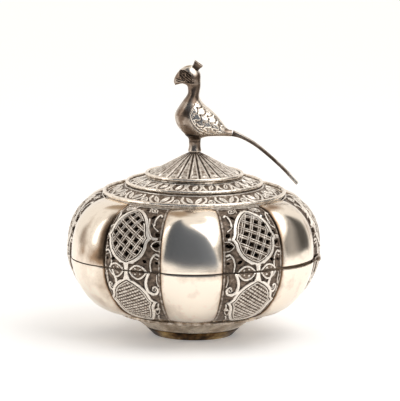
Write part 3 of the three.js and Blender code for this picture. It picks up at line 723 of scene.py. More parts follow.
for half, owner, node, grid in (
    (LOWER, "base", "base_chased_panel", (128, 152)),
    (UPPER, "lid", "lid_pierced_panel", (156, 184)),
):
    for number in range(1, LOBES + 1):
        shape, worn = panel(half, number - 1, *grid)
        make_piece(f"{owner}_panel_{number}", f"{node}_{number}", owner, chased_silver, shape, worn)


# The bottom dish: one sheet with a sloping band and a flat floor, soldered under the gores. A row of small
# leaves is chased under the wire, and the rest of the slope is plain.

# Silver rubbed by hands but seldom polished: pale, rather dull and clouded.
dish_silver = silver(
    "rubbed_dish_silver", "chased_silver", "#ecdfcc", "#8f765a",
    gloss=(0.2, 0.5), cloud=(6, 0.3), planish=(5, 0.03), grain=(0.4, 0.006),
)
DISH_WALL, DISH_RELIEF = 1.2 * MM, 0.3 * MM
DISH_LEAVES, DISH_STEPS, DISH_ROWS = 40, 720, 64
DISH_ORNAMENT_WIDTH = 5.2


def cells(angle, radius, count):
    """The place across the nearest of count equal cells round a ring, in mm from that cell's middle."""
    share = np.mod(angle * count / (2 * pi) + 0.5, 1) - 0.5
    return share * 2 * pi * radius / count / MM


def all_round(outline, steps):
    """The same outline at each step of a ring."""
    return np.broadcast_to(outline, (steps, *outline.shape))


def dish_pattern(across, down):
    """Leaves and dots between two lines, over the first part of the slope below the wire."""
    carved = most(
        leaf(across, down, (0, 2.4), 1.7, 0.62, 62, 0.12),
        raised(np.hypot(across - 1.9, down - 3.3) - 0.4),
        ridge(down - DISH_ORNAMENT_WIDTH + 0.3, 0.2),
        ridge(down - 11.4, 0.35),
    )
    return np.where(down > DISH_ORNAMENT_WIDTH, np.maximum(0.72, carved), carved)


dish_low, dish_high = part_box("base_dish")
dish_rim = half_width("base_dish")
dish_line = np.linspace((foot_top_radius, dish_low.z), (dish_rim, dish_high.z - DISH_WALL), DISH_ROWS)
dish_slope = np.linalg.norm(dish_line - dish_line[-1], axis=1)
dish_level = dish_pattern(cells(turns_of(DISH_STEPS), dish_line[:, 0], DISH_LEAVES), dish_slope / MM)
dish_under = dish_line - np.array([0, 1]) * (DISH_RELIEF * (dish_level[..., None] - 1))
dish_floor = all_round(np.linspace((0, dish_low.z), dish_line[0], 7)[:-1], DISH_STEPS)
dish_top = dish_low.z + DISH_WALL
dish_inside = np.array([(dish_rim, dish_high.z), (foot_top_radius, dish_top), (0, dish_top)])
dish_outline = np.concatenate([dish_floor, dish_under, all_round(dish_inside, DISH_STEPS)], 1)
dish_shape = turned(dish_outline, DISH_STEPS, on_axis=True)
dish_plain = (0, 0), (dish_floor.shape[1], len(dish_inside))
dish_worn = 0.25 + 0.8 * np.pad(dish_level, dish_plain, constant_values=0.5)
make_piece("bottom_dish", "base_dish", "base", dish_silver, dish_shape, dish_worn)


# The drawn wires: round silver wire, bent to a ring and soldered over each step of the sheet. Each is
# painted light on one side of its section and dark on the other, as painted highlight and shade: the lid's
# two outwards and upwards, the base's inwards.

# Drawn wire, half glossy where it is rubbed, with dull tarnish between its small dents.
wire_silver = silver(
    "drawn_wire_silver", "wire_silver", "#fff4e6", "#8d7b68",
    gloss=(0.26, 0.5), cloud=(2.5, 0.35), planish=(2.4, 0.06), grain=(0.4, 0.006),
)
BASE_WIRE, SHOULDER_WIRE, MIDDLE_WIRE = 0.75 * MM, 0.8 * MM, 0.7 * MM
WIRE_STEPS, WIRE_SIDES = 540, 16


def wire_ring(node, name, body, thick, painted_highlight_side):
    """A ring of round wire, whose radius wanders by a few sines of the way round, as small dents do.

    The side of the painted highlight, shade opposite: the angle round its section, from outwards to upwards.
    """
    low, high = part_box(node)
    turn, around = turns_of(WIRE_STEPS), turns_of(WIRE_SIDES).T
    dents = 1 + 0.05 * np.sin(23 * turn) * np.sin(7 * turn + 1) + 0.04 * np.sin(61 * turn)
    reach, circle = thick * dents, half_width(node) - thick
    outline = np.stack([circle + reach * np.cos(around), (low.z + high.z) / 2 + reach * np.sin(around)], -1)
    # Painted highlight on the given side of the section and painted shade on the other.
    bright = 0.95 + 0.3 * np.cos(around - painted_highlight_side)
    make_piece(name, node, body, wire_silver, turned(outline, WIRE_STEPS), bright)


wire_ring("base_wire", "lower_wire", "base", BASE_WIRE, pi)
wire_ring("shoulder_wire", "shoulder_wire_ring", "lid", SHOULDER_WIRE, 0.3)
wire_ring("middle_wire", "middle_wire_ring", "lid", MIDDLE_WIRE, 0.9)


# The bezel: a plain strip of sheet, bent round inside the base's rim and soldered. The lid drops over it.

# Sheet scoured by the lid: pale and evenly matt.
bezel_silver = silver(
    "rubbed_bezel_silver", "chased_silver", "#f2dcc4", "#a08468",
    gloss=(0.5, 0.6), cloud=(5, 0.2), planish=(5, 0.03), grain=(0.4, 0.006), metallic=MATT_METAL_SHARE,
)
BEZEL_WALL, BEZEL_ROUND, BEZEL_STEPS = 0.9 * MM, 0.25 * MM, 300


def tube_outline(outer, inner, low, high, edge_round):
    """The section of a straight tube, with its four edges rounded."""
    return rounded([(outer, low), (outer, high), (inner, high), (inner, low)], edge_round)


bezel_low, bezel_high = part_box("base_bezel")
bezel_outer = half_width("base_bezel")
bezel_outline = tube_outline(bezel_outer, bezel_outer - BEZEL_WALL, bezel_low.z, bezel_high.z, BEZEL_ROUND)
make_piece("bezel_strip", "base_bezel", "base", bezel_silver, turned(bezel_outline, BEZEL_STEPS), 0.9)


# The hinge: five knuckles of seamless tube on one pin, three soldered to the base and two to the lid,
# let into the panel at +X so that the barrel is flush with it.
BARREL_RADIUS, KNUCKLE_BORE, KNUCKLE_ROUND = 1.3 * MM, 0.67 * MM, 0.18 * MM
PIN_RADIUS, PIN_TIP, PIN_SHOULDER = 0.6 * MM, 0.08 * MM, 0.3 * MM
FIN_WALL, FIN_ROUND = 0.8 * MM, 0.2 * MM
KNUCKLE_STEPS, PIN_STEPS = 40, 24
pin_low, pin_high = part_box("hinge_pin")
hinge_x, hinge_z = (pin_low.x + pin_high.x) / 2, (pin_low.z + pin_high.z) / 2


def on_hinge(points):
    """Points turned about the upright axis, laid along the hinge line."""
    x, y, z = np.moveaxis(points, -1, 0)
    return np.stack([hinge_x + x, z, hinge_z - y], -1)


def capped(skin, ends):
    """A tube of points, one row for each of its rings, closed by a fan to each of its two end points."""
    rows, count = skin.shape[:2]
    points = np.concatenate([skin.reshape(-1, 3), ends])
    ring = np.arange(count)
    after, last = np.roll(ring, -1), (rows - 1) * count
    start_fan = np.stack([np.full(count, len(points) - 2), after, ring], -1)
    end_fan = np.stack([np.full(count, len(points) - 1), last + ring, last + after], -1)
    return points, [grid_quads(rows, count, False, True), start_fan, end_fan]


def strip(route, section):
    """A closed section carried along a route of x and z.

    The section's places are sideways along Y and along the route's normal, counted anticlockwise.
    """
    way = np.gradient(route, axis=0)
    way /= np.linalg.norm(way, axis=1, keepdims=True)
    section = np.broadcast_to(section, (len(route), *section.shape[-2:]))
    x = route[:, :1] - way[:, 1:] * section[..., 1]
    z = route[:, 1:] + way[:, :1] * section[..., 1]
    ends = np.array([(route[0, 0], 0, route[0, 1]), (route[-1, 0], 0, route[-1, 1])])
    return capped(np.stack([x, section[..., 0], z], -1), ends)


def together(*parts):
    """Several shapes, each its points and faces, as one."""
    points = [part.reshape(-1, 3) for part, _ in parts]
    starts = np.cumsum([0] + [len(part) for part in points[:-1]])
    faces = [face + start for (_, some), start in zip(parts, starts) for face in some]
    return np.concatenate(points), faces


for owner, count in (("base", 3), ("lid", 2)):
    for number in range(1, count + 1):
        node = f"{owner}_knuckle_{number}"
        low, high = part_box(node)
        tube = tube_outline(BARREL_RADIUS, KNUCKLE_BORE, low.y, high.y, KNUCKLE_ROUND)
        tube_points, tube_faces = turned(tube, KNUCKLE_STEPS)
        parts = [(on_hinge(tube_points), tube_faces)]
        if owner == "lid":
            fin_route = np.linspace((hinge_x, hinge_z + 0.8 * BARREL_RADIUS), (hinge_x, high.z), 6)
            side = FIN_WALL / 2
            fin_corners = [(high.y, -side), (high.y, side), (low.y, side), (low.y, -side)]
            fin_points, fin_faces = strip(fin_route, rounded(fin_corners, FIN_ROUND))
            fin_points[-2:, 1] = (low.y + high.y) / 2
            parts.append((fin_points, fin_faces))
        make_piece(f"{owner}_hinge_tube_{number}", node, owner, wire_silver, together(*parts), 0.8)

pin_outline = np.array(
    [
        (0, pin_low.y),
        (0.6 * PIN_RADIUS, pin_low.y + PIN_TIP),
        (PIN_RADIUS, pin_low.y + PIN_SHOULDER),
        (PIN_RADIUS, pin_high.y - PIN_SHOULDER),
        (0.6 * PIN_RADIUS, pin_high.y - PIN_TIP),
        (0, pin_high.y),
    ]
)
pin_points, pin_faces = turned(pin_outline, PIN_STEPS, on_axis=True)
make_piece("hinge_pin_wire", "hinge_pin", "base", wire_silver, (on_hinge(pin_points), pin_faces), 0.4)


# The stepped top: two conical bands of chased sheet, butted between the wires. The outer one has large
# hearts with a leaf in each and a small ring between them, the inner one a close row of small hearts.
BAND_RELIEF, BAND_WALL, BAND_ROUND = 0.42 * MM, 1 * MM, 0.15 * MM
BAND_STEPS, BAND_ROWS, OUTER_CELLS, INNER_CELLS = 900, 44, 14, 21
INSIDE_STEP, INSIDE_WORN = 8, 0.3


def relief_ring(line, lift, wall, worn):
    """A sheet turned round the axis, and its wear.

    Its outer line runs up the outside and is lifted along its normal. lift and worn have a row for each
    step round. The inside lies a wall below the line, with fewer points and dark.
    """
    way = np.gradient(line, axis=0)
    way /= np.linalg.norm(way, axis=1, keepdims=True)
    normal = np.stack([way[:, 1], -way[:, 0]], -1)
    outer = line + normal * lift[..., None]
    inner = all_round((line - normal * wall)[::-INSIDE_STEP], len(lift))
    worn = np.pad(worn, ((0, 0), (0, inner.shape[1])), constant_values=INSIDE_WORN)
    return turned(np.concatenate([outer, inner], 1), len(lift)), worn


def outer_band_pattern(across, up, length):
    """One cell of the outer band: across from its middle, up from the outer edge, in mm."""
    side = np.abs(across)
    between = 7.3 - side
    carved = most(
        raised(stroke(side, up, ((0, 1.9), (2, 2.9), (4, 4.5), (5, 6.2), (4.6, 7.9)), 1.15, 1)),
        leaf(side, up, (1.8, 6), 2.5, 1, 55, 0.16),
        ridge(np.hypot(between, up - 5) - 1.25, 0.33),
        raised(np.hypot(between, up - 5) - 0.5),
        ridge(up - 1.3, 0.22),
        ridge(up - length + 0.9, 0.25),
    )
    return np.where(up < 1.2, np.maximum(carved, 0.6), np.maximum(carved, 0.12))


def inner_band_pattern(across, up, length):
    """One cell of the inner band: a pointed heart with a leaf in it, and a bud between two hearts."""
    side = np.abs(across)
    between = 3.5 - side
    carved = most(
        raised(stroke(side, up, ((0, 1.3), (1.5, 2.5), (2.6, 4.4), (2.9, 6.4), (2.3, 8.2)), 1, 1.1)),
        leaf(across, up, (0.3, 5.6), 2.4, 1, 62, 0.16),
        raised(np.hypot(between, up - 3) - 0.45),
        ridge(up - 0.8, 0.2),
        ridge(up - length + 0.7, 0.25),
    )
    return np.maximum(carved, 0.1)


def band(node, name, pattern, count, top_radius):
    """A conical band from its CAD box's rim to its top, with its pattern repeated round it."""
    low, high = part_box(node)
    line = np.linspace((half_width(node), low.z + BAND_WALL), (top_radius, high.z), BAND_ROWS)
    up = np.linalg.norm(line - line[0], axis=1)
    level = pattern(cells(turns_of(BAND_STEPS), line[:, 0], count), up / MM, up[-1] / MM)
    lift = BAND_RELIEF * (level - 1) - edge_drop(np.minimum(up, up[-1] - up), BAND_ROUND)
    shape, worn = relief_ring(line, lift, BAND_WALL - BAND_RELIEF / 2, 0.1 + rubbed_with_painted_shade(level, 4))
    make_piece(name, node, "lid", chased_silver, shape, worn)


COLLAR_WALL, COLLAR_BEAD, COLLAR_STEPS = 1.1 * MM, 0.75 * MM, 540
collar_radius = half_width("collar")
band("outer_band", "heart_band", outer_band_pattern, OUTER_CELLS, half_width("middle_wire") - MIDDLE_WIRE)
band("inner_band", "loop_band", inner_band_pattern, INNER_CELLS, collar_radius - COLLAR_WALL)


# The collar: a low ring of thick sheet, soldered round the foot of the cone. Its top is rolled over into a
# bead, painted light as a highlight, and its wall below is painted darker as shade.
collar_low, collar_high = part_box("collar")
bead_turn = np.radians(np.linspace(-100, 150, 16))[:, None]
bead_middle = np.array([collar_radius - COLLAR_BEAD, collar_high.z - COLLAR_BEAD])
collar_outline = np.concatenate(
    [
        [(collar_radius - COLLAR_WALL, collar_low.z), (collar_radius - 0.25 * MM, collar_low.z)],
        [(collar_radius - 0.45 * MM, collar_low.z + 0.4 * MM)],
        bead_middle + COLLAR_BEAD * np.concatenate([np.cos(bead_turn), np.sin(bead_turn)], 1),
        [(collar_radius - COLLAR_WALL, collar_high.z - 1.2 * COLLAR_BEAD)],
    ]
)
# Painted highlight on the bead and painted shade down the wall, by height.
collar_painted_light = np.clip((collar_outline[:, 1] - collar_low.z) / (collar_high.z - collar_low.z) * 2, 0.6, 1.1)
make_piece("collar_bead", "collar", "lid", wire_silver, turned(collar_outline, COLLAR_STEPS), collar_painted_light)


# The fluted cone: sheet raised to a low cone, with lines punched from inside to leave twenty-four flutes.
# A small arch is punched where each flute meets the collar.
FLUTES, CONE_STEPS, CONE_ROWS = 24, 960, 60
FLUTE_RISE, FLUTE_LINE = 0.32, 0.3
CONE_WALL = 1 * MM
CONE_TIP_RADIUS, CONE_BORE = 2.8 * MM, 1.4 * MM
cone_low, cone_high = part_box("fluted_cone")
cone_rim = half_width("fluted_cone")


def cone_pattern(across, up, radius):
    """Height in mm above the valley lines, and how bright each place is: across and up in mm."""
    half = pi * radius / MM / FLUTES
    share = np.clip(np.abs(across) / half, 0, 1)
    pillow = FLUTE_RISE * (1 - share**4) * np.clip(radius / cone_rim, 0.3, 1)
    line = bell(half - np.abs(across), 0.3)
    beside = bell(half - np.abs(across) - 0.75, 0.25)
    arch = ridge(np.hypot(across, (up - 1) * 0.75) - 1.6, 0.32) * (up > 0.8)
    height = pillow - FLUTE_LINE * line + 0.14 * beside + 0.25 * arch
    return height, np.clip(0.66 - 0.8 * line + 0.55 * beside + 0.6 * arch, 0, 1)


cone_line = np.concatenate(
    [
        np.linspace((cone_rim, cone_low.z + CONE_WALL), (CONE_TIP_RADIUS, cone_high.z), CONE_ROWS),
        np.linspace((CONE_TIP_RADIUS, cone_high.z), (CONE_BORE, cone_high.z), 6)[1:],
    ]
)
cone_up = np.linalg.norm(cone_line - cone_line[0], axis=1)
cone_across = cells(turns_of(CONE_STEPS), cone_line[:, 0], FLUTES)
cone_height, cone_bright = cone_pattern(cone_across, cone_up / MM, cone_line[:, 0])
cone_height *= np.clip((cone_line[:, 0] - CONE_TIP_RADIUS) / MM, 0, 1)
cone_lift = (cone_height - FLUTE_RISE) * MM
cone_shape, cone_worn = relief_ring(cone_line, cone_lift, 0.6 * CONE_WALL, 0.1 + 0.85 * cone_bright)
make_piece("fluted_top", "fluted_cone", "lid", chased_silver, cone_shape, cone_worn)


# The finial's stem: turned silver with a flared foot. Its shank goes through the cone, and a hexagonal nut
# draws it down from inside.

# Cast silver is pale and half glossy where it is rubbed, and brown in its engraved lines. A soft, slightly
# uneven skin is left from the mould.
cast_silver = silver(
    "cast_bird_silver", "cast_silver", "#efe4d6", "#857263",
    gloss=(0.17, 0.4), cloud=(5, 0.3), planish=(4, 0.05), grain=(0.5, 0.012),
)
STEM_RADIUS, SHANK_RADIUS, STEM_STEPS = 2.45 * MM, 1.2 * MM, 64
NUT_STEPS, NUT_PLAY, NUT_ROUND = 96, 0.2 * MM, 0.2 * MM
stem_low, stem_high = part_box("finial_stem")
stem_flange = half_width("finial_stem")
stem_foot = cone_high.z + 0.1 * MM
stem_outline = np.array(
    [
        (0, stem_low.z),
        (0.7 * SHANK_RADIUS, stem_low.z),
        (SHANK_RADIUS, stem_low.z + 0.3 * SHANK_RADIUS),
        (SHANK_RADIUS, stem_foot),
        (0.93 * stem_flange, stem_foot),
        (stem_flange, stem_foot + 0.12 * stem_flange),
        (0.985 * stem_flange, stem_foot + 0.3 * stem_flange),
        (0.93 * stem_flange, stem_foot + 0.5 * stem_flange),
        (0.87 * stem_flange, stem_foot + 0.8 * stem_flange),
        (0.86 * stem_flange, stem_foot + 1.2 * stem_flange),
        (STEM_RADIUS, stem_high.z - 0.1 * MM),
        (0.95 * STEM_RADIUS, stem_high.z),
        (0, stem_high.z),
    ]
)
stem_shape = turned(stem_outline, STEM_STEPS, on_axis=True)
stem_worn = np.interp(stem_outline[:, 1], (stem_foot, stem_foot + 1 * MM, stem_high.z), (0.9, 0.5, 0.35))
make_piece("turned_stem", "finial_stem", "lid", cast_silver, stem_shape, stem_worn)

nut_low, nut_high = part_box("finial_nut")
nut_reach = (nut_high.y - nut_low.y) / 2
nut_outline = tube_outline(nut_reach, SHANK_RADIUS + NUT_PLAY, nut_low.z, nut_high.z, NUT_ROUND)
nut_outline = all_round(nut_outline, NUT_STEPS).copy()
flat_share = cos(pi / 6) / np.cos(np.mod(turns_of(NUT_STEPS), pi / 3) - pi / 6)
nut_outline[..., 0] *= np.where(nut_outline[..., 0] > 0.6 * nut_reach, flat_share, 1)
make_piece("hexagon_nut", "finial_nut", "lid", wire_silver, turned(nut_outline, NUT_STEPS), 0.45)


# The bird: cast in one with the boss it stands on, cleaned up with files and engraved with a graver. Its
# sections fan round the back of the neck, and each is given in mm by its lower or front point, its upper or
# back point, both in x and z, and its half width.
BIRD_SECTIONS = (
    (15.3, 82.9, 15.4, 85.5, 1.5),
    (10.9, 82.95, 13.3, 86.2, 2.5),
    (5.2, 82.7, 9.5, 91, 3.9),
    (-1, 81.5, 6.2, 94.2, 5.2),
    (-6.5, 86.2, 4.5, 95.5, 5.8),
    (-8.3, 90.3, 3, 97, 5.5),
    (-7.8, 93.2, 2.2, 98.2, 4.8),
    (-5.1, 97.4, 1.6, 99.4, 3.7),
    (-3.2, 100.3, 1.8, 101.5, 2.8),
    (-3.05, 102.6, 2.1, 103.5, 2.5),
    (-3.5, 103.9, 2.1, 106.1, 2.8),
    (-4.4, 104.4, 1.8, 109.3, 3.2),
    (-5.3, 104.65, -0.6, 111.9, 3.4),
    (-6, 104.6, -2.4, 112.4, 3.1),
    (-6.7, 104.45, -4.9, 111.6, 2.4),
    (-7.3, 104.3, -7.1, 109.6, 1.7),
    (-7.9, 104.15, -8.5, 107.3, 1),
    (-8.3, 104.05, -8.9, 105.5, 0.5),
)
BIRD_ROWS, BIRD_COLUMNS, BOSS_STEPS = 260, 168, 56
ENGRAVED_DEPTH = 0.3
WING = {"shoulder": (0.5, 95.5), "way": radians(-38.4), "middle": 7, "half_length": 8.3, "width": 7}
SCALE_PITCH, SCALE_RADIUS = 2.9, 1.45
WING_FROM, HEAD_FROM = -3.5, 103.8
BOSS_OUTLINE = (
    (0, 0),
    (2.35, 0),
    (2.45, 0.12),
    (2.45, 0.6),
    (2.6, 1.1),
    (2.95, 1.6),
    (3.5, 2.1),
    (4.2, 2.8),
    (3, 4),
    (0, 4),
)


def wing_pattern(x, z):
    """The engraved wing, a raised border round rows of scale feathers, and where it covers the flank."""
    x, z = x - WING["shoulder"][0], z - WING["shoulder"][1]
    along = x * cos(WING["way"]) + z * sin(WING["way"])
    below = x * sin(WING["way"]) - z * cos(WING["way"])
    bow = WING["width"] * np.sqrt(np.clip(1 - ((along - WING["middle"]) / WING["half_length"]) ** 2, 0, 1))
    inside = np.where(bow > 0, (bow - below) * 0.9, -1)
    border = ridge(inside - 0.45, 0.4, 0.3)
    reach = np.inf
    for late in (0, 1):
        row = np.floor(along / SCALE_PITCH) - late
        column = (np.mod(below / SCALE_PITCH + 0.5 * np.mod(row, 2), 1) - 0.5) * SCALE_PITCH
        from_middle = np.hypot((along - row * SCALE_PITCH) * 0.75, column)
        reach = np.where(reach > SCALE_RADIUS, from_middle, reach)
    scales = 1 - 0.95 * bell(reach - SCALE_RADIUS, 0.22) - 0.3 * bell(column, 0.15)
    feathers = np.where(inside > 0.95, scales, border)
    return np.where(inside > 0, feathers, 1 - bell(inside, 0.25)), inside > 0


def head_pattern(x, z):
    """The engraved head, an eye in a dark lens of strokes and the jaw's double line, and where it lies."""
    lens = almond(x, z, (-4.1, 108.1), 3.6, 2.1, -42)
    strokes = ridge(np.mod((x * 0.8 + z) * 0.9, 1) - 0.5, 0.14, 0.2)
    eye = np.abs(np.hypot(x + 4.9, z - 108.5) - 0.8)
    patch = np.maximum(0.75 * strokes, raised(eye - 0.15, 0.2))
    jaw = np.abs(z - 105.75 - 0.05 * (x + 4) ** 2 * (x < -4))
    line = np.where((x > -7.9) & (x < -0.4), 1 - bell(jaw - 0.45, 0.16), 1)
    return np.where(lens < 0, patch, line), (lens < 0) | (z < 106.8)


bird_sections = smooth_through(BIRD_SECTIONS, BIRD_ROWS)
bird_turn = turns_of(BIRD_COLUMNS).T
front, back, bird_width = bird_sections[:, None, :2], bird_sections[:, None, 2:4], bird_sections[:, 4:]
outline_xz = (front + back) / 2 + (back - front) / 2 * np.cos(bird_turn)[..., None]
bird_skin = np.stack([outline_xz[..., 0], bird_width * np.sin(bird_turn), outline_xz[..., 1]], -1)
skin_x, skin_z = bird_skin[..., 0], bird_skin[..., 2]

from_axis = bird_skin - bird_skin.mean(1, keepdims=True)
bird_normal = np.cross(np.gradient(bird_skin, axis=0), np.roll(bird_skin, -1, 1) - np.roll(bird_skin, 1, 1))
bird_normal /= np.maximum(np.linalg.norm(bird_normal, axis=-1, keepdims=True), 1e-9)
bird_normal *= np.sign(np.sum(bird_normal * from_axis, -1, keepdims=True))

wing_level, on_wing = wing_pattern(skin_x, skin_z)
head_level, on_head = head_pattern(skin_x, skin_z)
flank = np.clip((np.abs(np.sin(bird_turn)) - 0.3) / 0.25, 0, 1)
engraved = np.where(skin_z > HEAD_FROM, head_level, np.where(skin_x > WING_FROM, wing_level, 1))
engraved = 1 - (1 - engraved) * flank
bird_skin = (bird_skin - bird_normal * (ENGRAVED_DEPTH * (1 - engraved))[..., None]) * MM
boss_outline = np.array(BOSS_OUTLINE) * MM + np.array([0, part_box("bird_body")[0].z])
boss_points, boss_faces = turned(boss_outline, BOSS_STEPS, on_axis=True)
bird_shape = together(capped(bird_skin, bird_skin[[0, -1]].mean(1)), (boss_points, boss_faces))

# Painted light: the breast is lighter at its front edge and towards the wing, as painted highlights, the neck
# is darker below the head, and the crown is painted white as a highlight. The wing and head keep their
# engraving.
body_painted_light = np.interp(skin_x, (-8, -5, 0), (0.72, 0.5, 0.65))
neck_painted_light = np.interp(skin_z, (97, 100, 104.5, 108, 110.5), (0.55, 0.4, 0.38, 0.45, 1))
engraving_and_painted_light = np.where(skin_z > 97, neck_painted_light, body_painted_light)
engraving_and_painted_light = np.where(on_wing & (skin_z < 103), 0.12 + 0.98 * engraved, engraving_and_painted_light)
engraving_and_painted_light = np.where(on_head & (skin_z > 104.6), 0.05 + 0.5 * engraved, engraving_and_painted_light)
bird_worn = np.concatenate([engraving_and_painted_light.ravel(), [0.4, 0.4], np.full(boss_points[..., 0].size, 0.25)])
make_piece("cast_bird", "bird_body", "lid", cast_silver, bird_shape, bird_worn)


# The tail: a long flat strip of silver, hammered thin and cut square at its end. It is brazed to the root
# of the body. It is painted dark at its root as shade at the joint and is brightest at its tip, and its upper
# face is painted lighter than its lower one, as painted light and shade.
TAIL_ROUTE = ((15.6, 84.2), (19.1, 82.95), (24.5, 80), (29.8, 75.9), (36.6, 69.8), (42.6, 63.5))
TAIL_ROWS, TAIL_REACH, TAIL_ROUND = 90, (1.3, 0.72), 0.35
tail_corners = np.array([(1, -1), (1, 1), (-1, 1), (-1, -1)]) * TAIL_REACH
tail_section = rounded(tail_corners, TAIL_ROUND) * MM
tail_share = np.linspace(0, 1, TAIL_ROWS)[:, None]
tail_thickness = np.interp(tail_share, (0, 0.1, 0.25, 0.7, 1), (1.65, 1.35, 1, 0.86, 0.95))
tail_size = np.stack([1 - 0.06 * tail_share, tail_thickness], -1)
tail_shape = strip(smooth_through(TAIL_ROUTE, TAIL_ROWS) * MM, tail_section * tail_size)
tail_places, tail_levels = (0, 0.05, 0.15, 0.3, 0.6, 0.8, 1), (0.2, 0.45, 0.65, 0.45, 0.25, 0.5, 1.1)
tail_tone_and_painted_shade = np.interp(tail_share, tail_places, tail_levels)
# Painted light on the upper face and painted shade on the lower one.
tail_worn = np.append(tail_tone_and_painted_shade + 0.15 * np.sign(tail_section[:, 1]), [0.4, 1])
make_piece("tail_strip", "bird_tail", "lid", cast_silver, tail_shape, tail_worn)


# The crest: a small open cup with four sides, cast with the bird and leaning back on its crown. Its rim is
# rubbed bright, and its inside is black.
CREST_LEAN, CREST_STEPS = radians(35), 64
SQUARE_POWER, SQUARE_WIDTH = 5, 1.2
CREST_OUTLINE = (
    (0, -2),
    (1.9, -2),
    (1.85, -1.2),
    (2.4, 0.35),
    (2.45, 0.6),
    (2.25, 0.68),
    (2, 0.5),
    (1.5, -0.2),
    (0, -0.35),
)
crest_turn = turns_of(CREST_STEPS)
square_sum = np.abs(np.cos(crest_turn)) ** SQUARE_POWER + np.abs(np.sin(crest_turn)) ** SQUARE_POWER
crest_outline = all_round(np.array(CREST_OUTLINE) * MM, CREST_STEPS).copy()
crest_outline[..., 0] *= 1 / square_sum ** (1 / SQUARE_POWER) / SQUARE_WIDTH
crest_points, crest_faces = turned(crest_outline, CREST_STEPS, on_axis=True)
x, y, z = np.moveaxis(crest_points, -1, 0)
lean_c, lean_s = cos(CREST_LEAN), sin(CREST_LEAN)
crest_points = np.stack([x * lean_c + z * lean_s, y, z * lean_c - x * lean_s], -1)
crest_points += np.mean(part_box("bird_crest"), 0)
crest_worn = np.array([0.2, 0.2, 0.2, 0.35, 0.9, 0.9, 0.3, 0.05, 0.05])
make_piece("crest_cup", "bird_crest", "lid", cast_silver, (crest_points, crest_faces), crest_worn)


# The studio: a pale floor before a white backdrop, and glowing cards that the silver mirrors: two lamps,
# the room's walls and its dark front. A card is there only for rays from the object's side. The front shade
# is there only for diffuse rays, so that less light reaches the floor from in front.
def bare_material(name):
    """A material that has only its output node."""
    material = bpy.data.materials.new(name)
    material.use_nodes = True
    material.node_tree.nodes.remove(material.node_tree.nodes["Principled BSDF"])
    return material


def stage_material(name, colour, glow):
    """A matt surface that also glows a little for the camera and in mirrors, so that it shows as white."""
    material = bare_material(name)
    rays = add_node(material, "ShaderNodeLightPath").outputs
    seen = rays["Is Camera Ray"]
    for kind in ("Is Glossy Ray", "Is Transmission Ray"):
        seen = add_node(material, "ShaderNodeMath", {0: seen, 1: rays[kind]}, operation="MAXIMUM")
    strength = add_node(material, "ShaderNodeMath", {0: seen, 1: glow}, operation="MULTIPLY")
    matt = add_node(material, "ShaderNodeBsdfDiffuse", {"Color": linear(colour)})
    light = add_node(material, "ShaderNodeEmission", {"Color": linear("#ffffff"), "Strength": strength})
    both = add_node(material, "ShaderNodeAddShader", {0: matt, 1: light})
    connect(material, material.node_tree.nodes["Material Output"], {"Surface": both})
    return material


def stage_piece(name, points, faces, material):
    """A floor or a card. It isn't part of the object."""
    mesh = bpy.data.meshes.new(name)
    mesh.from_pydata(points.reshape(-1, 3).tolist(), [], faces.tolist())
    mesh.polygons.foreach_set("use_smooth", np.ones(len(faces), bool))
    mesh.materials.append(material)
    piece = bpy.data.objects.new(name, mesh)
    bpy.context.scene.collection.objects.link(piece)
    return piece


FLOOR_SIZE = 6
floor_corners = np.array([(-1, -1, 0), (1, -1, 0), (1, 1, 0), (-1, 1, 0)]) * FLOOR_SIZE / 2
floor_material = stage_material("pale_floor", "#f6f5f4", 0.22)
stage_piece("floor", floor_corners, np.array([[0, 1, 2, 3]]), floor_material)


def card_material(name, colour):
    """A glowing card with soft edges, seen only from inside the ring of cards.

    "cover" says how far it covers what is behind, and "glow" its strength.
    """
    material = bare_material(name)
    cover = add_node(material, "ShaderNodeAttribute", attribute_name="cover").outputs["Fac"]
    glow = add_node(material, "ShaderNodeAttribute", attribute_name="glow").outputs["Fac"]
    light = add_node(material, "ShaderNodeEmission", {"Color": linear(colour), "Strength": glow})
    clear = add_node(material, "ShaderNodeBsdfTransparent")
    from_inside = add_node(material, "ShaderNodeNewGeometry").outputs["Backfacing"]
    covered = add_node(material, "ShaderNodeMath", {0: cover, 1: from_inside}, operation="MULTIPLY")
    both = add_node(material, "ShaderNodeMixShader", {0: covered, 1: clear, 2: light})
    connect(material, material.node_tree.nodes["Material Output"], {"Surface": both})
    return material


CARD_ROWS, CARD_COLUMNS = 48, 64


def card(name, colour, distances, elevations, left, right, glows, soft, soft_right=0, lights_floor=False):
    """A card on a sphere round the object. Azimuth 0 is towards the camera and 90 towards +X, in degrees.

    elevations lists some heights, and left and right give the azimuths of its two sides there. Its distance
    and its glow run through their lists from left to right. Its sides and top fade out over soft degrees,
    its right side over soft_right if that is more.
    """
    elevation = np.linspace(elevations[0], elevations[-1], CARD_ROWS + 1)[:, None]
    start, end = (np.interp(elevation, elevations, side) for side in (left, right))
    share = np.linspace(0, 1, CARD_COLUMNS + 1)[None, :]
    azimuth = start + (end - start) * share
    flatness, steepness = np.cos(np.radians(elevation)), np.sin(np.radians(elevation))
    inside = np.minimum((azimuth - start) / soft, (end - azimuth) / max(soft, soft_right)) * flatness
    cover = np.clip(np.minimum(inside, (elevations[-1] - elevation) / soft), 0, 1)
    glow = np.interp(share, np.linspace(0, 1, len(glows)), glows) + 0 * azimuth
    reach = np.interp(share, np.linspace(0, 1, len(distances)), distances)
    turn = np.radians(azimuth)
    side, front = reach * flatness * np.sin(turn), -reach * flatness * np.cos(turn)
    points = np.stack([side, front, reach * steepness + SEAM_HEIGHT], -1)
    piece = stage_piece(name, points, grid_quads(*cover.shape), card_material(name, colour))
    for key, values in (("cover", cover), ("glow", glow)):
        layer = piece.data.attributes.new(key, "FLOAT", "POINT")
        layer.data.foreach_set("value", values.ravel().astype(np.float32))
    piece.visible_camera = False
    piece.visible_shadow = False
    piece.visible_diffuse = lights_floor
    return piece


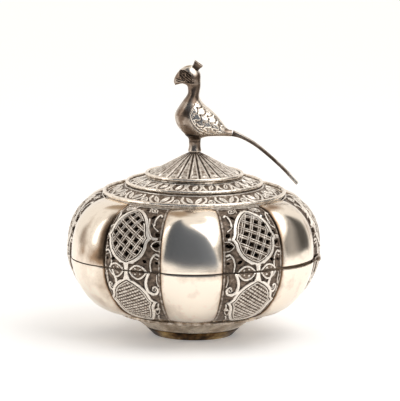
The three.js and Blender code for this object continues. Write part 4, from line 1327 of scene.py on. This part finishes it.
card(
    "dark_room", "#dfecff", (0.6, 0.5, 0.34, 0.27, 0.27, 0.27, 0.27),
    elevations=(-6.6, 9, 25, 37, 48, 67, 78),
    left=(-63, -60, -62, -65, -69, -88, -105),
    right=(54, 45, 38, 30, 18, -12, -50),
    glows=(0.12, 0.13, 0.15, 0.17, 0.22, 0.36), soft=2, soft_right=8,
)
card(
    "right_of_room", "#d6d2ce", (0.3,),
    elevations=(-4, 12, 24, 36, 50),
    left=(50, 46, 60, 78, 104),
    right=(124, 124, 124, 122, 118),
    glows=(0.18, 0.5, 0.6, 0.4, 0.13, 0.11, 0.4), soft=6,
)
card(
    "back_wall", "#e0c7ac", (0.9,),
    elevations=(42, 55, 76),
    left=(-190, -188, -185),
    right=(-140, -132, -120),
    glows=(0.5, 0.5, 0.6), soft=8,
)
card(
    "left_of_room", "#bfa58c", (0.6,),
    elevations=(-2, 10, 22),
    left=(-122, -122, -118),
    right=(-104, -104, -108),
    glows=(0.45,), soft=8,
)
card(
    "right_lamp", "#ffffff", (0.6,),
    elevations=(12, 24, 37, 50, 62, 72),
    left=(38, 34, 27, 14, 2, -10),
    right=(39, 53, 72, 94, 130, 150),
    glows=(2.6,), soft=1.5, lights_floor=True,
)
card(
    "left_lamp", "#ffffff", (0.6,),
    elevations=(6, 20, 50, 53),
    left=(-84, -83, -82, -82),
    right=(-72, -72, -74, -78),
    glows=(3,), soft=2, lights_floor=True,
)
front_shade = card(
    "front_shade", "#ffffff", (2.9,),
    elevations=(-4, 55),
    left=(-54, -54),
    right=(54, 54),
    glows=(0.12,), soft=4, lights_floor=True,
)
front_shade.visible_glossy = False

world = bpy.data.worlds.new("studio")
bpy.context.scene.world = world
world.use_nodes = True
room = world.node_tree.nodes["Background"]
connect(world, room, {"Color": linear("#f9f5f0")})
backdrop = add_node(world, "ShaderNodeBackground", {"Color": (1, 1, 1, 1)})
camera_ray = add_node(world, "ShaderNodeLightPath").outputs["Is Camera Ray"]
seen_world = add_node(world, "ShaderNodeMixShader", {0: camera_ray, 1: room, 2: backdrop})
connect(world, world.node_tree.nodes["World Output"], {"Surface": seen_world})


# The camera: far off with a long lens, a little above the seam and aimed above the middle of the box. It is
# tipped by about half a degree.
CAMERA_ELEVATION = radians(9.5)
CAMERA_DISTANCE = 1.845
CAMERA_AIM = (2.409 * MM, 0, 55.852 * MM)
CAMERA_ROLL = radians(0.6)
camera_data = bpy.data.cameras.new("camera")
camera_data.lens = 400
camera_data.sensor_width = 36
camera_data.clip_end = 20
camera = bpy.data.objects.new("camera", camera_data)
bpy.context.scene.collection.objects.link(camera)
camera.location = (
    CAMERA_AIM[0],
    -CAMERA_DISTANCE * cos(CAMERA_ELEVATION),
    CAMERA_AIM[2] + CAMERA_DISTANCE * sin(CAMERA_ELEVATION),
)
camera.rotation_mode = "ZXY"
camera.rotation_euler = (pi / 2 - CAMERA_ELEVATION, 0, CAMERA_ROLL)
bpy.context.scene.camera = camera
bpy.context.scene.view_settings.view_transform = "Standard"
